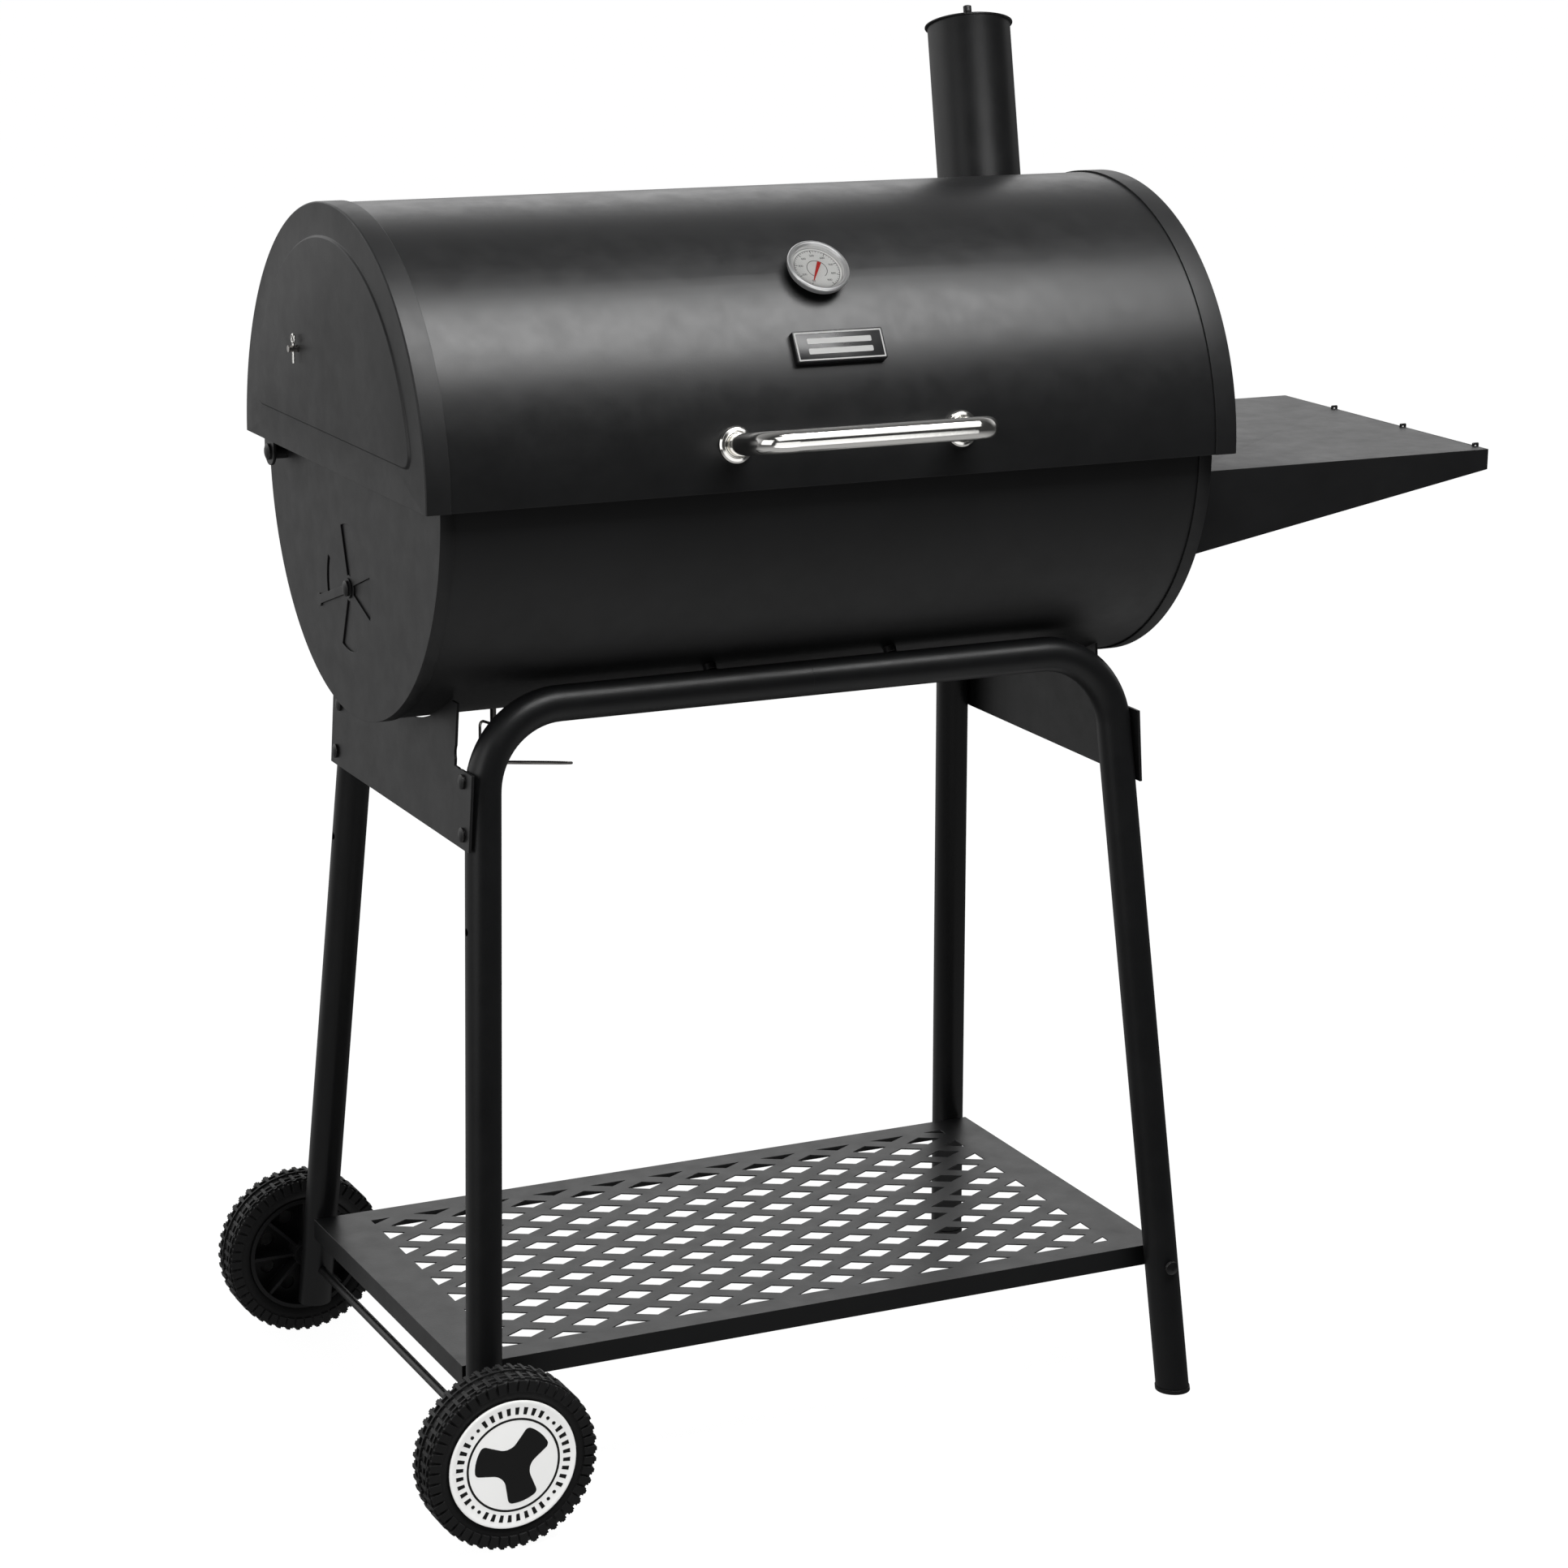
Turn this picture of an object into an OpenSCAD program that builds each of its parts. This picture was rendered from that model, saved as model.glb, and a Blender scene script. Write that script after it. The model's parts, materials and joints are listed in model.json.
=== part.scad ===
// Barrel charcoal grill on a wheeled leg frame. Millimetres, +Z up.
// The origin is on the floor at the centre of the bounding box.
// Inside the modules, X runs along the barrel from its middle and Y points to the back.

/* [Barrel] */
// Length of the firebox over its end caps
firebox_len = 749; // [700:1:800]
// Outer radius of the firebox
firebox_r = 219; // [216:1:222]
// Height of the firebox axis
firebox_z = 906; // [904:1:908]
// Length of the lid over its end caps
lid_len = 784; // [780:1:800]
// Outer radius of the lid
lid_r = 233; // [232:1:236]
// Height of the lid axis and of its lower edge
lid_z = 910; // [909:1:912]
// Thickness of the sheet metal
sheet = 1.5; // [1.2:0.1:1.8]
// Width of the flange band of each lid end cap
lid_band = 22; // [15:1:30]
// Width of the flange band of each firebox end cap
firebox_band = 13; // [10:1:20]

/* [Hinge] */
// Distance of the hinge pin behind the barrel axis
hinge_y = 173.5; // [172:0.5:175]
// Height of the hinge pin
hinge_z = 899; // [898:0.5:900]
// Radius of the hinge ear
ear_r = 12.5; // [11:0.5:13]

/* [Handle and thermometer] */
// Distance between the handle feet
handle_w = 218; // [200:1:260]
// Radius of the handle tube
handle_r = 10; // [7:0.5:10.5]
// Distance from the lid surface to the middle of the grip
handle_out = 66; // [50:1:70]
// Angle of the handle above the front of the lid
handle_angle = 10; // [8:1:12]
// Angle of the thermometer above the front of the lid
thermo_angle = 47.7; // [45:0.1:50]
// Radius of the thermometer bezel
thermo_r = 28.5; // [26:0.5:32]
// Width of the name plate
plate_w = 87; // [70:1:100]
// Height of the name plate
plate_h = 29; // [25:1:32]
// Angle of the name plate above the front of the lid
plate_angle = 29.5; // [28:0.5:31]

/* [Chimney] */
// Distance of the chimney from the middle of the barrel
chimney_x = 311; // [280:1:322]
// Outer radius of the chimney
chimney_r = 40; // [38:1:42]
// Backward lean of the chimney
chimney_lean = 19.5; // [12:0.5:22]
// Lean of the chimney towards the right end
chimney_side = 4.9; // [0:0.1:6]
// Height of the top of the pipe
chimney_top = 1268; // [1240:1:1290]

/* [Legs] */
// Outer radius of the leg tube
tube_r = 16; // [15:0.5:16]
// Height of the top rails
rail_z = 719.5; // [718:0.5:720]
// Distance of each top rail from the barrel axis
rail_y = 150; // [148:1:152]
// Distance of each foot from the barrel axis
foot_y = 230.3; // [225:0.1:235]
// Distance of the leg line from the middle at rail height
leg_top_x = 311; // [309:1:313]
// Distance of the right feet from the middle
foot_x_right = 363; // [360:1:366]
// Distance of the left leg line from the middle at the floor
foot_x_left = 349; // [347:1:351]
// Radius of the bend between rail and leg
bend_r = 75; // [65:1:80]

/* [Wheels] */
// Radius of the tyre
wheel_r = 80; // [76:1:82]
// Width of the tyre
wheel_w = 38; // [36:1:40]
// Distance of each wheel's middle from the barrel axis
wheel_y = 270.8; // [270:0.1:274]
// Radius of the axle
axle_r = 4; // [3.5:0.5:5]

/* [Shelves] */
// Length of the lower shelf
shelf_len = 720; // [715:1:722]
// Distance of the lower shelf's middle from the middle of the barrel
shelf_x = 4.5; // [4:0.5:6]
// Width of the lower shelf
shelf_w = 394; // [390:1:395]
// Height of the lower shelf's top
shelf_z = 138; // [136:1:139]
// Height of the top of the side shelf
side_z = 884; // [882:1:884]
// Distance of the side shelf's outer edge from the middle of the barrel
side_reach = 712; // [650:1:730]
// Width of the side shelf
side_w = 354; // [350:1:356]

/* [Hidden] */
$fn = 96;

// Small gap between sheets that touch on the real object
gap = 0.1;
// Radial clearance of a running fit
run = 0.05;
// Radial clearance of a bolt hole
bolt_play = 0.3;

// Half lengths and the sheets' other faces
box_x = firebox_len / 2;
box_in = box_x - sheet;
skin_r = firebox_r - sheet - gap;
skin_in = skin_r - sheet;
lid_x = lid_len / 2;
lid_in = lid_x - sheet;
lid_skin_r = lid_r - sheet - gap;
lid_skin_in = lid_skin_r - sheet;
rim_z = lid_z + 4;

// Leg frame: lean in Y, splay in X
lean = atan((foot_y - rail_y) / rail_z);
leg_len = rail_z / cos(lean);
splay_right = atan((foot_x_right - leg_top_x) / leg_len);
splay_left = atan((foot_x_left - leg_top_x) / leg_len);
tube_in = tube_r - 1.5;
plug_h = 4;
left_cut_z = 42;
spare_hole_z = 529;
function leg_y(z) = rail_y + (foot_y - rail_y) * (rail_z - z) / rail_z;
function leg_x(z, foot_x) = leg_top_x + (foot_x - leg_top_x) * (rail_z - z) / rail_z;

// Wheels
axle_x = -leg_x(wheel_r, foot_x_left);
axle_len = 2 * (wheel_y + 12);
cap_crown = 0.6;
wheel_face = wheel_y + wheel_w / 2 + cap_crown;
hub_cap_r = 59.4;
hub_rim_r = 57;

// Handle
grip_r = lid_r + handle_out;
handle_front = grip_r * cos(handle_angle) + handle_r;

// Tool hooks
hook_wire = 1.25;
hook_reach = 9;
hook_in = 3.4;
hook_out = 1.6;
hook_ys = [-157, -36, 85];

// Bounding box, which sets the origin
x_low = axle_x - wheel_r;
x_high = side_reach + hook_reach;
origin_x = (x_low + x_high) / 2;
origin_y = (wheel_face - handle_front) / 2;

// Warming rack linkage: lid pivot, firebox pivot and the open pivot between rack and legs
rack_y = 76.5;
rack_z = 1007;
link_y = -200;
link_z = -16;
rack_leg_y = hinge_y + link_y;
rack_leg_z = hinge_z + link_z;
open_y = rack_y + link_y;
open_z = rack_z + link_z;
rack_rod_r = 3;
rack_pivot_r = 3;
rack_leg_x = 362;

// Cotter pins at the ends of the rack's rod
pin_r = 1.2;
pin_x = lid_x + 6;

// Hinge ears and pins
hinge_pin_r = 4;
ear_t = 3;
ear_x = lid_in - gap - ear_t;

// The chimney axis meets the lid's surface here
chimney_base_y = 113;
chimney_base_z = lid_z + sqrt(lid_r * lid_r - chimney_base_y * chimney_base_y);
pipe_h = (chimney_top - chimney_base_z) / (cos(chimney_lean) * cos(chimney_side));

// Dome in the middle of the chimney cap
cap_dome_r = 14;

// Thermometer: its back is this far from the lid's axis, and the needle rests at this turn
thermo_back = lid_r + 2.5;
spindle_r = 1;
needle_rest = 149;

// Warming rack's front rail and half length
rack_front = open_y;
rack_half = 345;

// Charcoal tray and cooking grates
tray_z = 742;
tray_half = 366;
tray_w = 236;
grate_z = 866;

// Direction from each rail to the barrel axis, and the gap between rail and firebox
rail_dir = atan((firebox_z - rail_z) / rail_y);
rail_gap = norm([rail_y, firebox_z - rail_z]) - firebox_r + sheet + gap - tube_r;
rail_bolt_x = [-90, 90];

// Side brackets and lower shelf
bracket_t = 2.5;
bracket_low = 600;
bracket_bolt_z = [659, 613];
bracket_shank = tube_r + bracket_t + 8;
function bracket_drop(side_x) = side_x > 0 ? 7 : 0;
shelf_flange = 20;
shelf_bolt_z = 127;

// Side shelf: its wall at the firebox, the height of its lower edge and its front flange
side_root = box_x + gap;
side_low = 805;
side_edge = 19.5;
shelf_bolt_points = [[-130, 852], [130, 852], [-110, 820], [110, 820]];

// Damper on the left end
damper_y = 8.5;
damper_z = 802;
petal_in = 11.5;
petal_out = 57;
petal_half = 20;
slot_r = 55;
slot_half = 21;
lever_angle = -18;
lever_len = 80;
damper_r = 66;
petals = [90, 180, 270];

// ---------------------------------------------------------------- helpers

module placed() {
    translate([-origin_x, -origin_y, 0])
        children();
}

// A flat outline in Y and Z, given length along X around x = 0
module along_x(length) {
    rotate([90, 0, 90])
        linear_extrude(height = length, center = true)
            children();
}

// A flat outline in X and Z, given length along Y around y = 0
module along_y(length) {
    rotate([90, 0, 0])
        linear_extrude(height = length, center = true)
            children();
}

// A round bar from one point to another
module bar(a, b, r) {
    d = b - a;
    length = norm(d);
    translate(a)
        rotate([0, acos(d[2] / length), atan2(d[1], d[0])])
            cylinder(r = r, h = length);
}

// A round bar along X, Y or Z from a starting point
module bar_x(a, length, r) {
    translate(a)
        rotate([0, 90, 0])
            cylinder(r = r, h = length);
}

module bar_y(a, length, r) {
    translate(a)
        rotate([-90, 0, 0])
            cylinder(r = r, h = length);
}

// Upper or lower half of a disc, straight edge at height cut
module half_disc(r, cut, side) {
    intersection() {
        circle(r);
        translate([-r - 1, side > 0 ? cut : cut - 2 * r - 2])
            square([2 * r + 2, 2 * r + 2]);
    }
}

// Frame standing on the lid's surface: Z outward, Y up along the skin
module on_lid(angle) {
    translate([0, 0, lid_z])
        rotate([90 - angle, 0, 0])
            children();
}

// A sector between two radii, centred on an angle
module sector(r_in, r_out, middle, half) {
    reach = 2 * r_out;
    intersection() {
        difference() {
            circle(r_out);
            circle(r_in);
        }
        polygon([[0, 0],
            [reach * cos(middle - half), reach * sin(middle - half)],
            [reach * cos(middle), reach * sin(middle)],
            [reach * cos(middle + half), reach * sin(middle + half)]]);
    }
}

// Domed bolt head on the plane z = 0, growing upwards
module dome_head(r, h) {
    intersection() {
        cylinder(r = r, h = h);
        translate([0, 0, h - 2 * r])
            sphere(r = 2 * r);
    }
}

// Hexagonal nut standing on z = 0 with its bore
module nut(across, h, bore) {
    difference() {
        cylinder(d = across / cos(30), h = h, $fn = 6);
        translate([0, 0, -1])
            cylinder(r = bore, h = h + 2);
    }
}

// ---------------------------------------------------------------- lid

module chimney_frame() {
    translate([chimney_x, 0, 0])
        translate([0, chimney_base_y, chimney_base_z])
            rotate([-chimney_lean, chimney_side, 0])
                children();
}

module lid_skin() placed() color("#1d1d1f") {
    difference() {
        translate([0, 0, lid_z])
            along_x(2 * (lid_in - gap))
                difference() {
                    half_disc(lid_skin_r, 0, 1);
                    circle(lid_skin_in);
                }
        chimney_frame()
            translate([0, 0, -60])
                cylinder(r = chimney_r - 3, h = 120);
        on_lid(thermo_angle)
            translate([0, 0, lid_skin_in - 10])
                cylinder(r = 4.3, h = 20);
        for (side = [-1, 1])
            on_lid(handle_angle)
                translate([side * handle_w / 2, 0, lid_skin_in - 10])
                    cylinder(r = 3.3, h = 20);
    }
}

// Outline of the raised panel on each lid end
module d_panel() {
    panel_r = 203;
    foot = 32;
    corner = 12;
    inner_y = sqrt(pow(panel_r - corner, 2) - pow(foot + corner, 2));
    intersection() {
        circle(panel_r);
        union() {
            translate([-panel_r, foot + corner])
                square([2 * panel_r, panel_r]);
            translate([-inner_y, foot])
                square([2 * inner_y, corner + 1]);
            for (side = [-1, 1])
                translate([side * inner_y, foot + corner])
                    circle(corner);
        }
    }
}

module lid_end(side) {
    panel = 2;
    difference() {
        union() {
            translate([side * (lid_x - sheet / 2), 0, lid_z])
                along_x(sheet)
                    half_disc(lid_r, 0, 1);
            translate([side * (lid_x + panel / 2 - 0.5), 0, lid_z])
                along_x(panel + 1)
                    d_panel();
            translate([side * (lid_x - lid_band / 2), 0, lid_z])
                along_x(lid_band)
                    difference() {
                        half_disc(lid_r, 0, 1);
                        circle(lid_r - sheet);
                    }
        }
        bar_x([side * lid_x - 10, rack_y, rack_z], 20, rack_rod_r + run);
    }
}

module lid_end_left() placed() color("#39393b") lid_end(-1);

module lid_end_right() placed() color("#39393b") lid_end(1);

module hinge_ears() placed() color("#303032") {
    for (side = [-1, 1])
        translate([side * (ear_x + ear_t / 2), hinge_y, hinge_z])
            along_x(ear_t)
                difference() {
                    union() {
                        circle(ear_r);
                        translate([-ear_r, 0])
                            square([2 * ear_r, 38]);
                    }
                    circle(hinge_pin_r + run);
                }
}

module hinge_bolts() placed() color("#1a1a1c") {
    for (side = [-1, 1])
        translate([side * (ear_x + ear_t + gap), hinge_y, hinge_z])
            rotate([0, side * 90, 0]) {
                dome_head(7.5, 4);
                translate([0, 0, -34])
                    cylinder(r = hinge_pin_r, h = 34);
            }
}

module hinge_fittings() placed() color("#1a1a1c") {
    spacer = ear_x - box_x - 2 * gap;
    for (side = [-1, 1])
        translate([side * (box_x + gap), hinge_y, hinge_z])
            rotate([0, side * 90, 0]) {
                difference() {
                    cylinder(r = 7, h = spacer);
                    translate([0, 0, -1])
                        cylinder(r = hinge_pin_r + gap, h = spacer + 2);
                }
                translate([0, 0, -sheet - 2 * gap - 6])
                    nut(13, 6, hinge_pin_r + gap);
            }
}

module handle_tube(r) {
    bend = 24;
    arm = grip_r - bend - lid_r;
    half = handle_w / 2;
    for (side = [-1, 1]) {
        translate([side * half, 0, lid_r])
            cylinder(r = r, h = arm);
        translate([side * (half - bend), 0, grip_r - bend])
            rotate([90, side > 0 ? 0 : -90, 0])
                rotate_extrude(angle = 90)
                    translate([bend, 0])
                        circle(r);
    }
    bar_x([-half + bend, 0, grip_r], handle_w - 2 * bend, r);
}

module lid_handle() placed() color("#d9d9dc") {
    on_lid(handle_angle)
        difference() {
            handle_tube(handle_r);
            for (side = [-1, 1])
                translate([side * handle_w / 2, 0, lid_r - 1])
                    cylinder(r = 3, h = 16);
        }
}

module handle_bezels() placed() color("#d9d9dc") {
    for (side = [-1, 1])
        on_lid(handle_angle)
            translate([side * handle_w / 2, 0, lid_r - 1.5])
                rotate_extrude()
                    polygon([[handle_r + 0.3, 0], [16, 0], [16, 2.5], [14.5, 4],
                        [12, 4.5], [11, 3], [handle_r + 0.3, 3]]);
}

module handle_screws() placed() color("#8a8a8e") {
    for (side = [-1, 1])
        on_lid(handle_angle)
            translate([side * handle_w / 2, 0, lid_skin_in]) {
                translate([0, 0, -6])
                    dome_head(6, 5.5);
                translate([0, 0, -2])
                    cylinder(r = 2.9, h = 14);
            }
}

module thermometer_case() placed() color("#c8c8cc") {
    on_lid(thermo_angle)
        difference() {
            union() {
                translate([0, 0, thermo_back])
                    cylinder(r = thermo_r - 1.5, h = 7);
                translate([0, 0, thermo_back + 5])
                    cylinder(r = thermo_r, h = 4.5);
                translate([0, 0, lid_skin_in - 60])
                    cylinder(r = 4, h = 66);
                translate([0, 0, lid_r - 0.4])
                    cylinder(r = 9, h = 4);
            }
            translate([0, 0, thermo_back + 2])
                cylinder(r = thermo_r - 5, h = 12);
        }
}

module thermometer_dial() placed() color("#f2f2f0") {
    on_lid(thermo_angle)
        translate([0, 0, thermo_back + 2 + gap])
            difference() {
                cylinder(r = thermo_r - 5.2, h = 1.5);
                translate([0, 0, 0.5])
                    cylinder(r = spindle_r + run, h = 2);
            }
}

module thermometer_needle() placed() color("#c82020") {
    on_lid(thermo_angle)
        translate([0, 0, thermo_back + 4.2]) {
            translate([0, 0, -1.4])
                cylinder(r = spindle_r, h = 2);
            rotate([0, 0, needle_rest])
                linear_extrude(height = 0.6)
                    polygon([[-1.8, -8], [1.8, -8], [0.4, 15], [-0.4, 15]]);
        }
}

module thermometer_lens() placed() color([0.9, 0.95, 1, 0.3]) {
    on_lid(thermo_angle)
        translate([0, 0, thermo_back + 5.6])
            cylinder(r = thermo_r - 5.2, h = 1.5);
}

module thermometer_nut() placed() color("#8a8a8e") {
    on_lid(thermo_angle)
        translate([0, 0, lid_skin_in - 6.2])
            nut(17, 5.5, 4 + gap);
}

module name_plate() placed() color("#202124") {
    on_lid(plate_angle)
        difference() {
            translate([-plate_w / 2 + 0.5, -plate_h / 2, lid_skin_r - 3])
                cube([plate_w, plate_h, 9]);
            rotate([0, 90, 0])
                cylinder(r = lid_skin_r + gap, h = 300, center = true, $fn = 360);
        }
}

// ---------------------------------------------------------------- chimney

module chimney_pipe() placed() color("#2c2c2e") {
    difference() {
        chimney_frame()
            difference() {
                translate([0, 0, -40])
                    cylinder(r = chimney_r, h = pipe_h + 40);
                translate([0, 0, -41])
                    cylinder(r = chimney_r - 1.5, h = pipe_h + 42);
            }
        translate([0, 0, lid_z])
            rotate([0, 90, 0])
                cylinder(r = lid_skin_r + gap, h = 1000, center = true, $fn = 360);
    }
}

module chimney_flange() placed() color("#232325") {
    intersection() {
        translate([0, 0, lid_z])
            rotate([0, 90, 0])
                difference() {
                    cylinder(r = lid_skin_r + 1.6, h = 1000, center = true, $fn = 360);
                    cylinder(r = lid_skin_r + gap, h = 1002, center = true, $fn = 360);
                }
        chimney_frame()
            translate([0, 0, -30])
                difference() {
                    cylinder(r = chimney_r + 6, h = 60);
                    translate([0, 0, -1])
                        cylinder(r = chimney_r + gap, h = 62);
                }
    }
}

module chimney_cap() placed() color("#161617") {
    chimney_frame()
        translate([0, 0, pipe_h + gap])
            difference() {
                union() {
                    cylinder(r = chimney_r + 2.5, h = 1.8);
                    intersection() {
                        translate([0, 0, 1])
                            cylinder(r = cap_dome_r + 1, h = cap_dome_r);
                        sphere(r = cap_dome_r);
                    }
                }
                translate([0, 0, -1])
                    cylinder(r = 2.5 + gap, h = cap_dome_r + 2);
            }
}

module cap_knob() placed() color("#161617") {
    chimney_frame()
        translate([0, 0, pipe_h + gap]) {
            translate([0, 0, -60])
                cylinder(r = 2.5, h = 60 + cap_dome_r + 1);
            translate([0, 0, cap_dome_r + gap])
                dome_head(4, 6.5);
            translate([0, 0, -60])
                cylinder(r = 5, h = 3);
        }
}

module cap_bridge() placed() color("#2c2c2e") {
    chimney_frame()
        translate([0, 0, pipe_h - 25])
            difference() {
                intersection() {
                    translate([0, 0, 0.75])
                        cube([2 * chimney_r, 18, 1.5], center = true);
                    cylinder(r = chimney_r - 1.6, h = 4, center = true);
                }
                cylinder(r = 2.5 + run, h = 10, center = true);
            }
}

// ---------------------------------------------------------------- warming rack

module warming_rack() placed() color("#b9b9bd") {
    ring_out = 7;
    ring_in = rack_rod_r + 0.6;
    wires = 33;
    union() {
        difference() {
            bar_x([-lid_x - 11, rack_y, rack_z], 2 * lid_x + 22, rack_rod_r);
            for (side = [-1, 1])
                translate([side * pin_x, rack_y, rack_z])
                    cylinder(r = pin_r + gap, h = 20, center = true);
        }
        bar_x([-rack_half, rack_front, rack_z], 2 * rack_half, rack_rod_r);
        for (i = [0 : wires - 1])
            bar([-rack_half + 4 + i * (2 * rack_half - 8) / (wires - 1), rack_front, rack_z],
                [-rack_half + 4 + i * (2 * rack_half - 8) / (wires - 1), rack_y, rack_z], 1.8);
        for (side = [-1, 1])
            translate([side * (rack_half - 16), open_y, open_z])
                along_x(4)
                    difference() {
                        union() {
                            circle(ring_out);
                            translate([-3, 0])
                                square([6, rack_z - open_z]);
                        }
                        circle(ring_in);
                    }
    }
}

module rack_legs() placed() color("#b9b9bd") {
    eye = rack_pivot_r + run;
    difference() {
        union() {
            bar_x([-rack_leg_x - 2.5, open_y, open_z], 2 * rack_leg_x + 5, 2.5);
            for (side = [-1, 1]) {
                bar([side * rack_leg_x, open_y, open_z],
                    [side * rack_leg_x, rack_leg_y, rack_leg_z], 2.5);
                translate([side * rack_leg_x, rack_leg_y, rack_leg_z])
                    along_x(5)
                        circle(eye + 2.5);
            }
        }
        for (side = [-1, 1])
            bar_x([side * rack_leg_x - 10, rack_leg_y, rack_leg_z], 20, eye);
    }
}

module rack_pivots() placed() color("#2a2a2c") {
    for (side = [-1, 1]) {
        bar_x([side > 0 ? rack_leg_x - 4 : -box_in + gap, rack_leg_y, rack_leg_z],
            box_in - gap - rack_leg_x + 4, rack_pivot_r);
        translate([side * (box_in - gap - 1), rack_leg_y, rack_leg_z])
            along_x(2)
                circle(11);
    }
}

module cotter_pins() placed() color("#c9c9cd") {
    for (side = [-1, 1])
        translate([side * pin_x, rack_y, rack_z]) {
            translate([0, 0, -13])
                cylinder(r = pin_r, h = 19);
            translate([0, 0, 9])
                rotate([90, 0, 90])
                    rotate_extrude()
                        translate([3.4, 0])
                            circle(pin_r);
        }
}

// ---------------------------------------------------------------- firebox

// Frame on a rail with Z pointing at the barrel axis
module on_rail(side, x) {
    translate([x, side * rail_y, rail_z])
        rotate([side * (90 - rail_dir), 0, 0])
            children();
}

module rail_holes() {
    for (side = [-1, 1])
        for (x = rail_bolt_x)
            on_rail(side, x)
                translate([0, 0, 2])
                    cylinder(r = 3 + bolt_play, h = 50);
}

module firebox_skin() placed() color("#191a1b") {
    difference() {
        translate([0, 0, firebox_z])
            along_x(2 * (box_in - gap))
                difference() {
                    half_disc(skin_r, rim_z - firebox_z, -1);
                    circle(skin_in);
                }
        rail_holes();
    }
}

module firebox_end(side) {
    translate([side * (box_x - sheet / 2), 0, firebox_z])
        along_x(sheet)
            half_disc(firebox_r, rim_z - firebox_z, -1);
    translate([side * (box_x - firebox_band / 2), 0, firebox_z])
        along_x(firebox_band)
            difference() {
                half_disc(firebox_r, rim_z - firebox_z, -1);
                circle(firebox_r - sheet);
            }
}

module petal_cut(turn) {
    for (a = petals)
        sector(petal_in, petal_out, a + turn, petal_half);
}

module firebox_end_left() placed() color("#333335") {
    difference() {
        firebox_end(-1);
        translate([-box_x, damper_y, damper_z])
            along_x(20) {
                petal_cut(0);
                sector(slot_r - 3, slot_r + 3, 0, slot_half);
                circle(3 + bolt_play);
            }
        bar_x([-box_x - 10, hinge_y, hinge_z], 20, hinge_pin_r + bolt_play);
    }
}

module firebox_end_right() placed() color("#333335") {
    difference() {
        firebox_end(1);
        bar_x([box_x - 10, hinge_y, hinge_z], 20, hinge_pin_r + bolt_play);
        for (p = shelf_bolt_points)
            bar_x([box_x - 10, p[0], p[1]], 20, 3 + bolt_play);
    }
}

module damper_disc() placed() color("#2b2b2d") {
    translate([-box_in + gap + 0.6, damper_y, damper_z])
        along_x(1.2)
            difference() {
                circle(damper_r);
                petal_cut(-40);
                circle(3 + run);
            }
}

module damper_lever() placed() color("#1b1b1d") {
    translate([-box_x - gap - 0.75, damper_y, damper_z])
        rotate([lever_angle, 0, 0]) {
            along_x(1.5)
                difference() {
                    union() {
                        circle(9);
                        translate([0, -4])
                            square([lever_len, 8]);
                        translate([lever_len, 0])
                            circle(6);
                    }
                    circle(3 + run);
                }
            bar_x([0, slot_r, 0], 0.75 + 2 * gap + sheet, 2.2);
        }
}

module damper_bolt() placed() color("#151516") {
    translate([-box_x - 1.5 - 2 * gap, damper_y, damper_z])
        rotate([0, -90, 0]) {
            dome_head(7, 4);
            translate([0, 0, -12])
                cylinder(r = 3, h = 12);
        }
    translate([-box_in + 2 * gap + 1.2, damper_y, damper_z])
        rotate([0, 90, 0])
            nut(10, 5, 3 + gap);
}

module charcoal_tray() placed() color("#3a3a3c") {
    slots = 14;
    pitch = 2 * tray_half / slots;
    translate([0, 0, tray_z])
        difference() {
            translate([-tray_half, -tray_w / 2, 0])
                cube([2 * tray_half, tray_w, 26]);
            translate([-tray_half + 1.5, -tray_w / 2 + 1.5, 1.5])
                cube([2 * tray_half - 3, tray_w - 3, 30]);
            for (i = [0 : slots - 1])
                for (y = [-70, 0, 70])
                    translate([-tray_half + (i + 0.5) * pitch - 4, y - 26, -1])
                        cube([8, 52, 4]);
        }
}

module grate_rests() placed() color("#2a2a2c") {
    for (side = [-1, 1]) {
        for (y = [-75, 75])
            translate([side * (box_in - gap - 9), y, tray_z - 2])
                cube([18, 50, 3.8], center = true);
        along_x(2 * (box_in - 1))
            translate([0, firebox_z])
                intersection() {
                    difference() {
                        circle(skin_in - gap);
                        circle(skin_in - 1.6);
                    }
                    translate([side > 0 ? 0 : -400, grate_z - firebox_z - 18])
                        square([400, 18]);
                }
        along_x(2 * (box_in - 1))
            translate([side * 204.5 - 7, grate_z - 1.5])
                square([14, 1.5]);
    }
}

module cooking_grates() placed() color("#232323") {
    count = 4;
    pitch = 2 * (box_in - 2) / count;
    w = pitch - 3;
    depth = 398;
    bars = 9;
    t = 5;
    h = 9;
    for (k = [0 : count - 1])
        translate([-box_in + 2 + (k + 0.5) * pitch, 0, grate_z + gap]) {
            for (i = [0 : bars - 1])
                translate([-w / 2 + i * (w - t) / (bars - 1), -depth / 2, 0])
                    cube([t, depth, h]);
            for (y = [-depth / 2, -depth / 6, depth / 6 - t, depth / 2 - t])
                translate([-w / 2, y, 0])
                    cube([w, t, h - 2]);
        }
}

// ---------------------------------------------------------------- leg frame

// One bent tube in its own plane: rail from the middle, bend, then the leg.
// The bend's radius differs a little, and the straight runs end just inside it.
module tube_path(r, r_bend, splay) {
    start = leg_top_x - bend_r * (1 - sin(splay)) / cos(splay);
    seat = 1;
    bar_x([0, 0, 0], start + seat, r);
    translate([start, 0, -bend_r])
        rotate([90, 0, 0])
            rotate([0, 0, splay]) {
                rotate_extrude(angle = 90 - splay)
                    translate([bend_r, 0])
                        circle(r_bend);
                translate([bend_r, seat, 0])
                    rotate([90, 0, 0])
                        cylinder(r = r, h = leg_len);
            }
}

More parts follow.
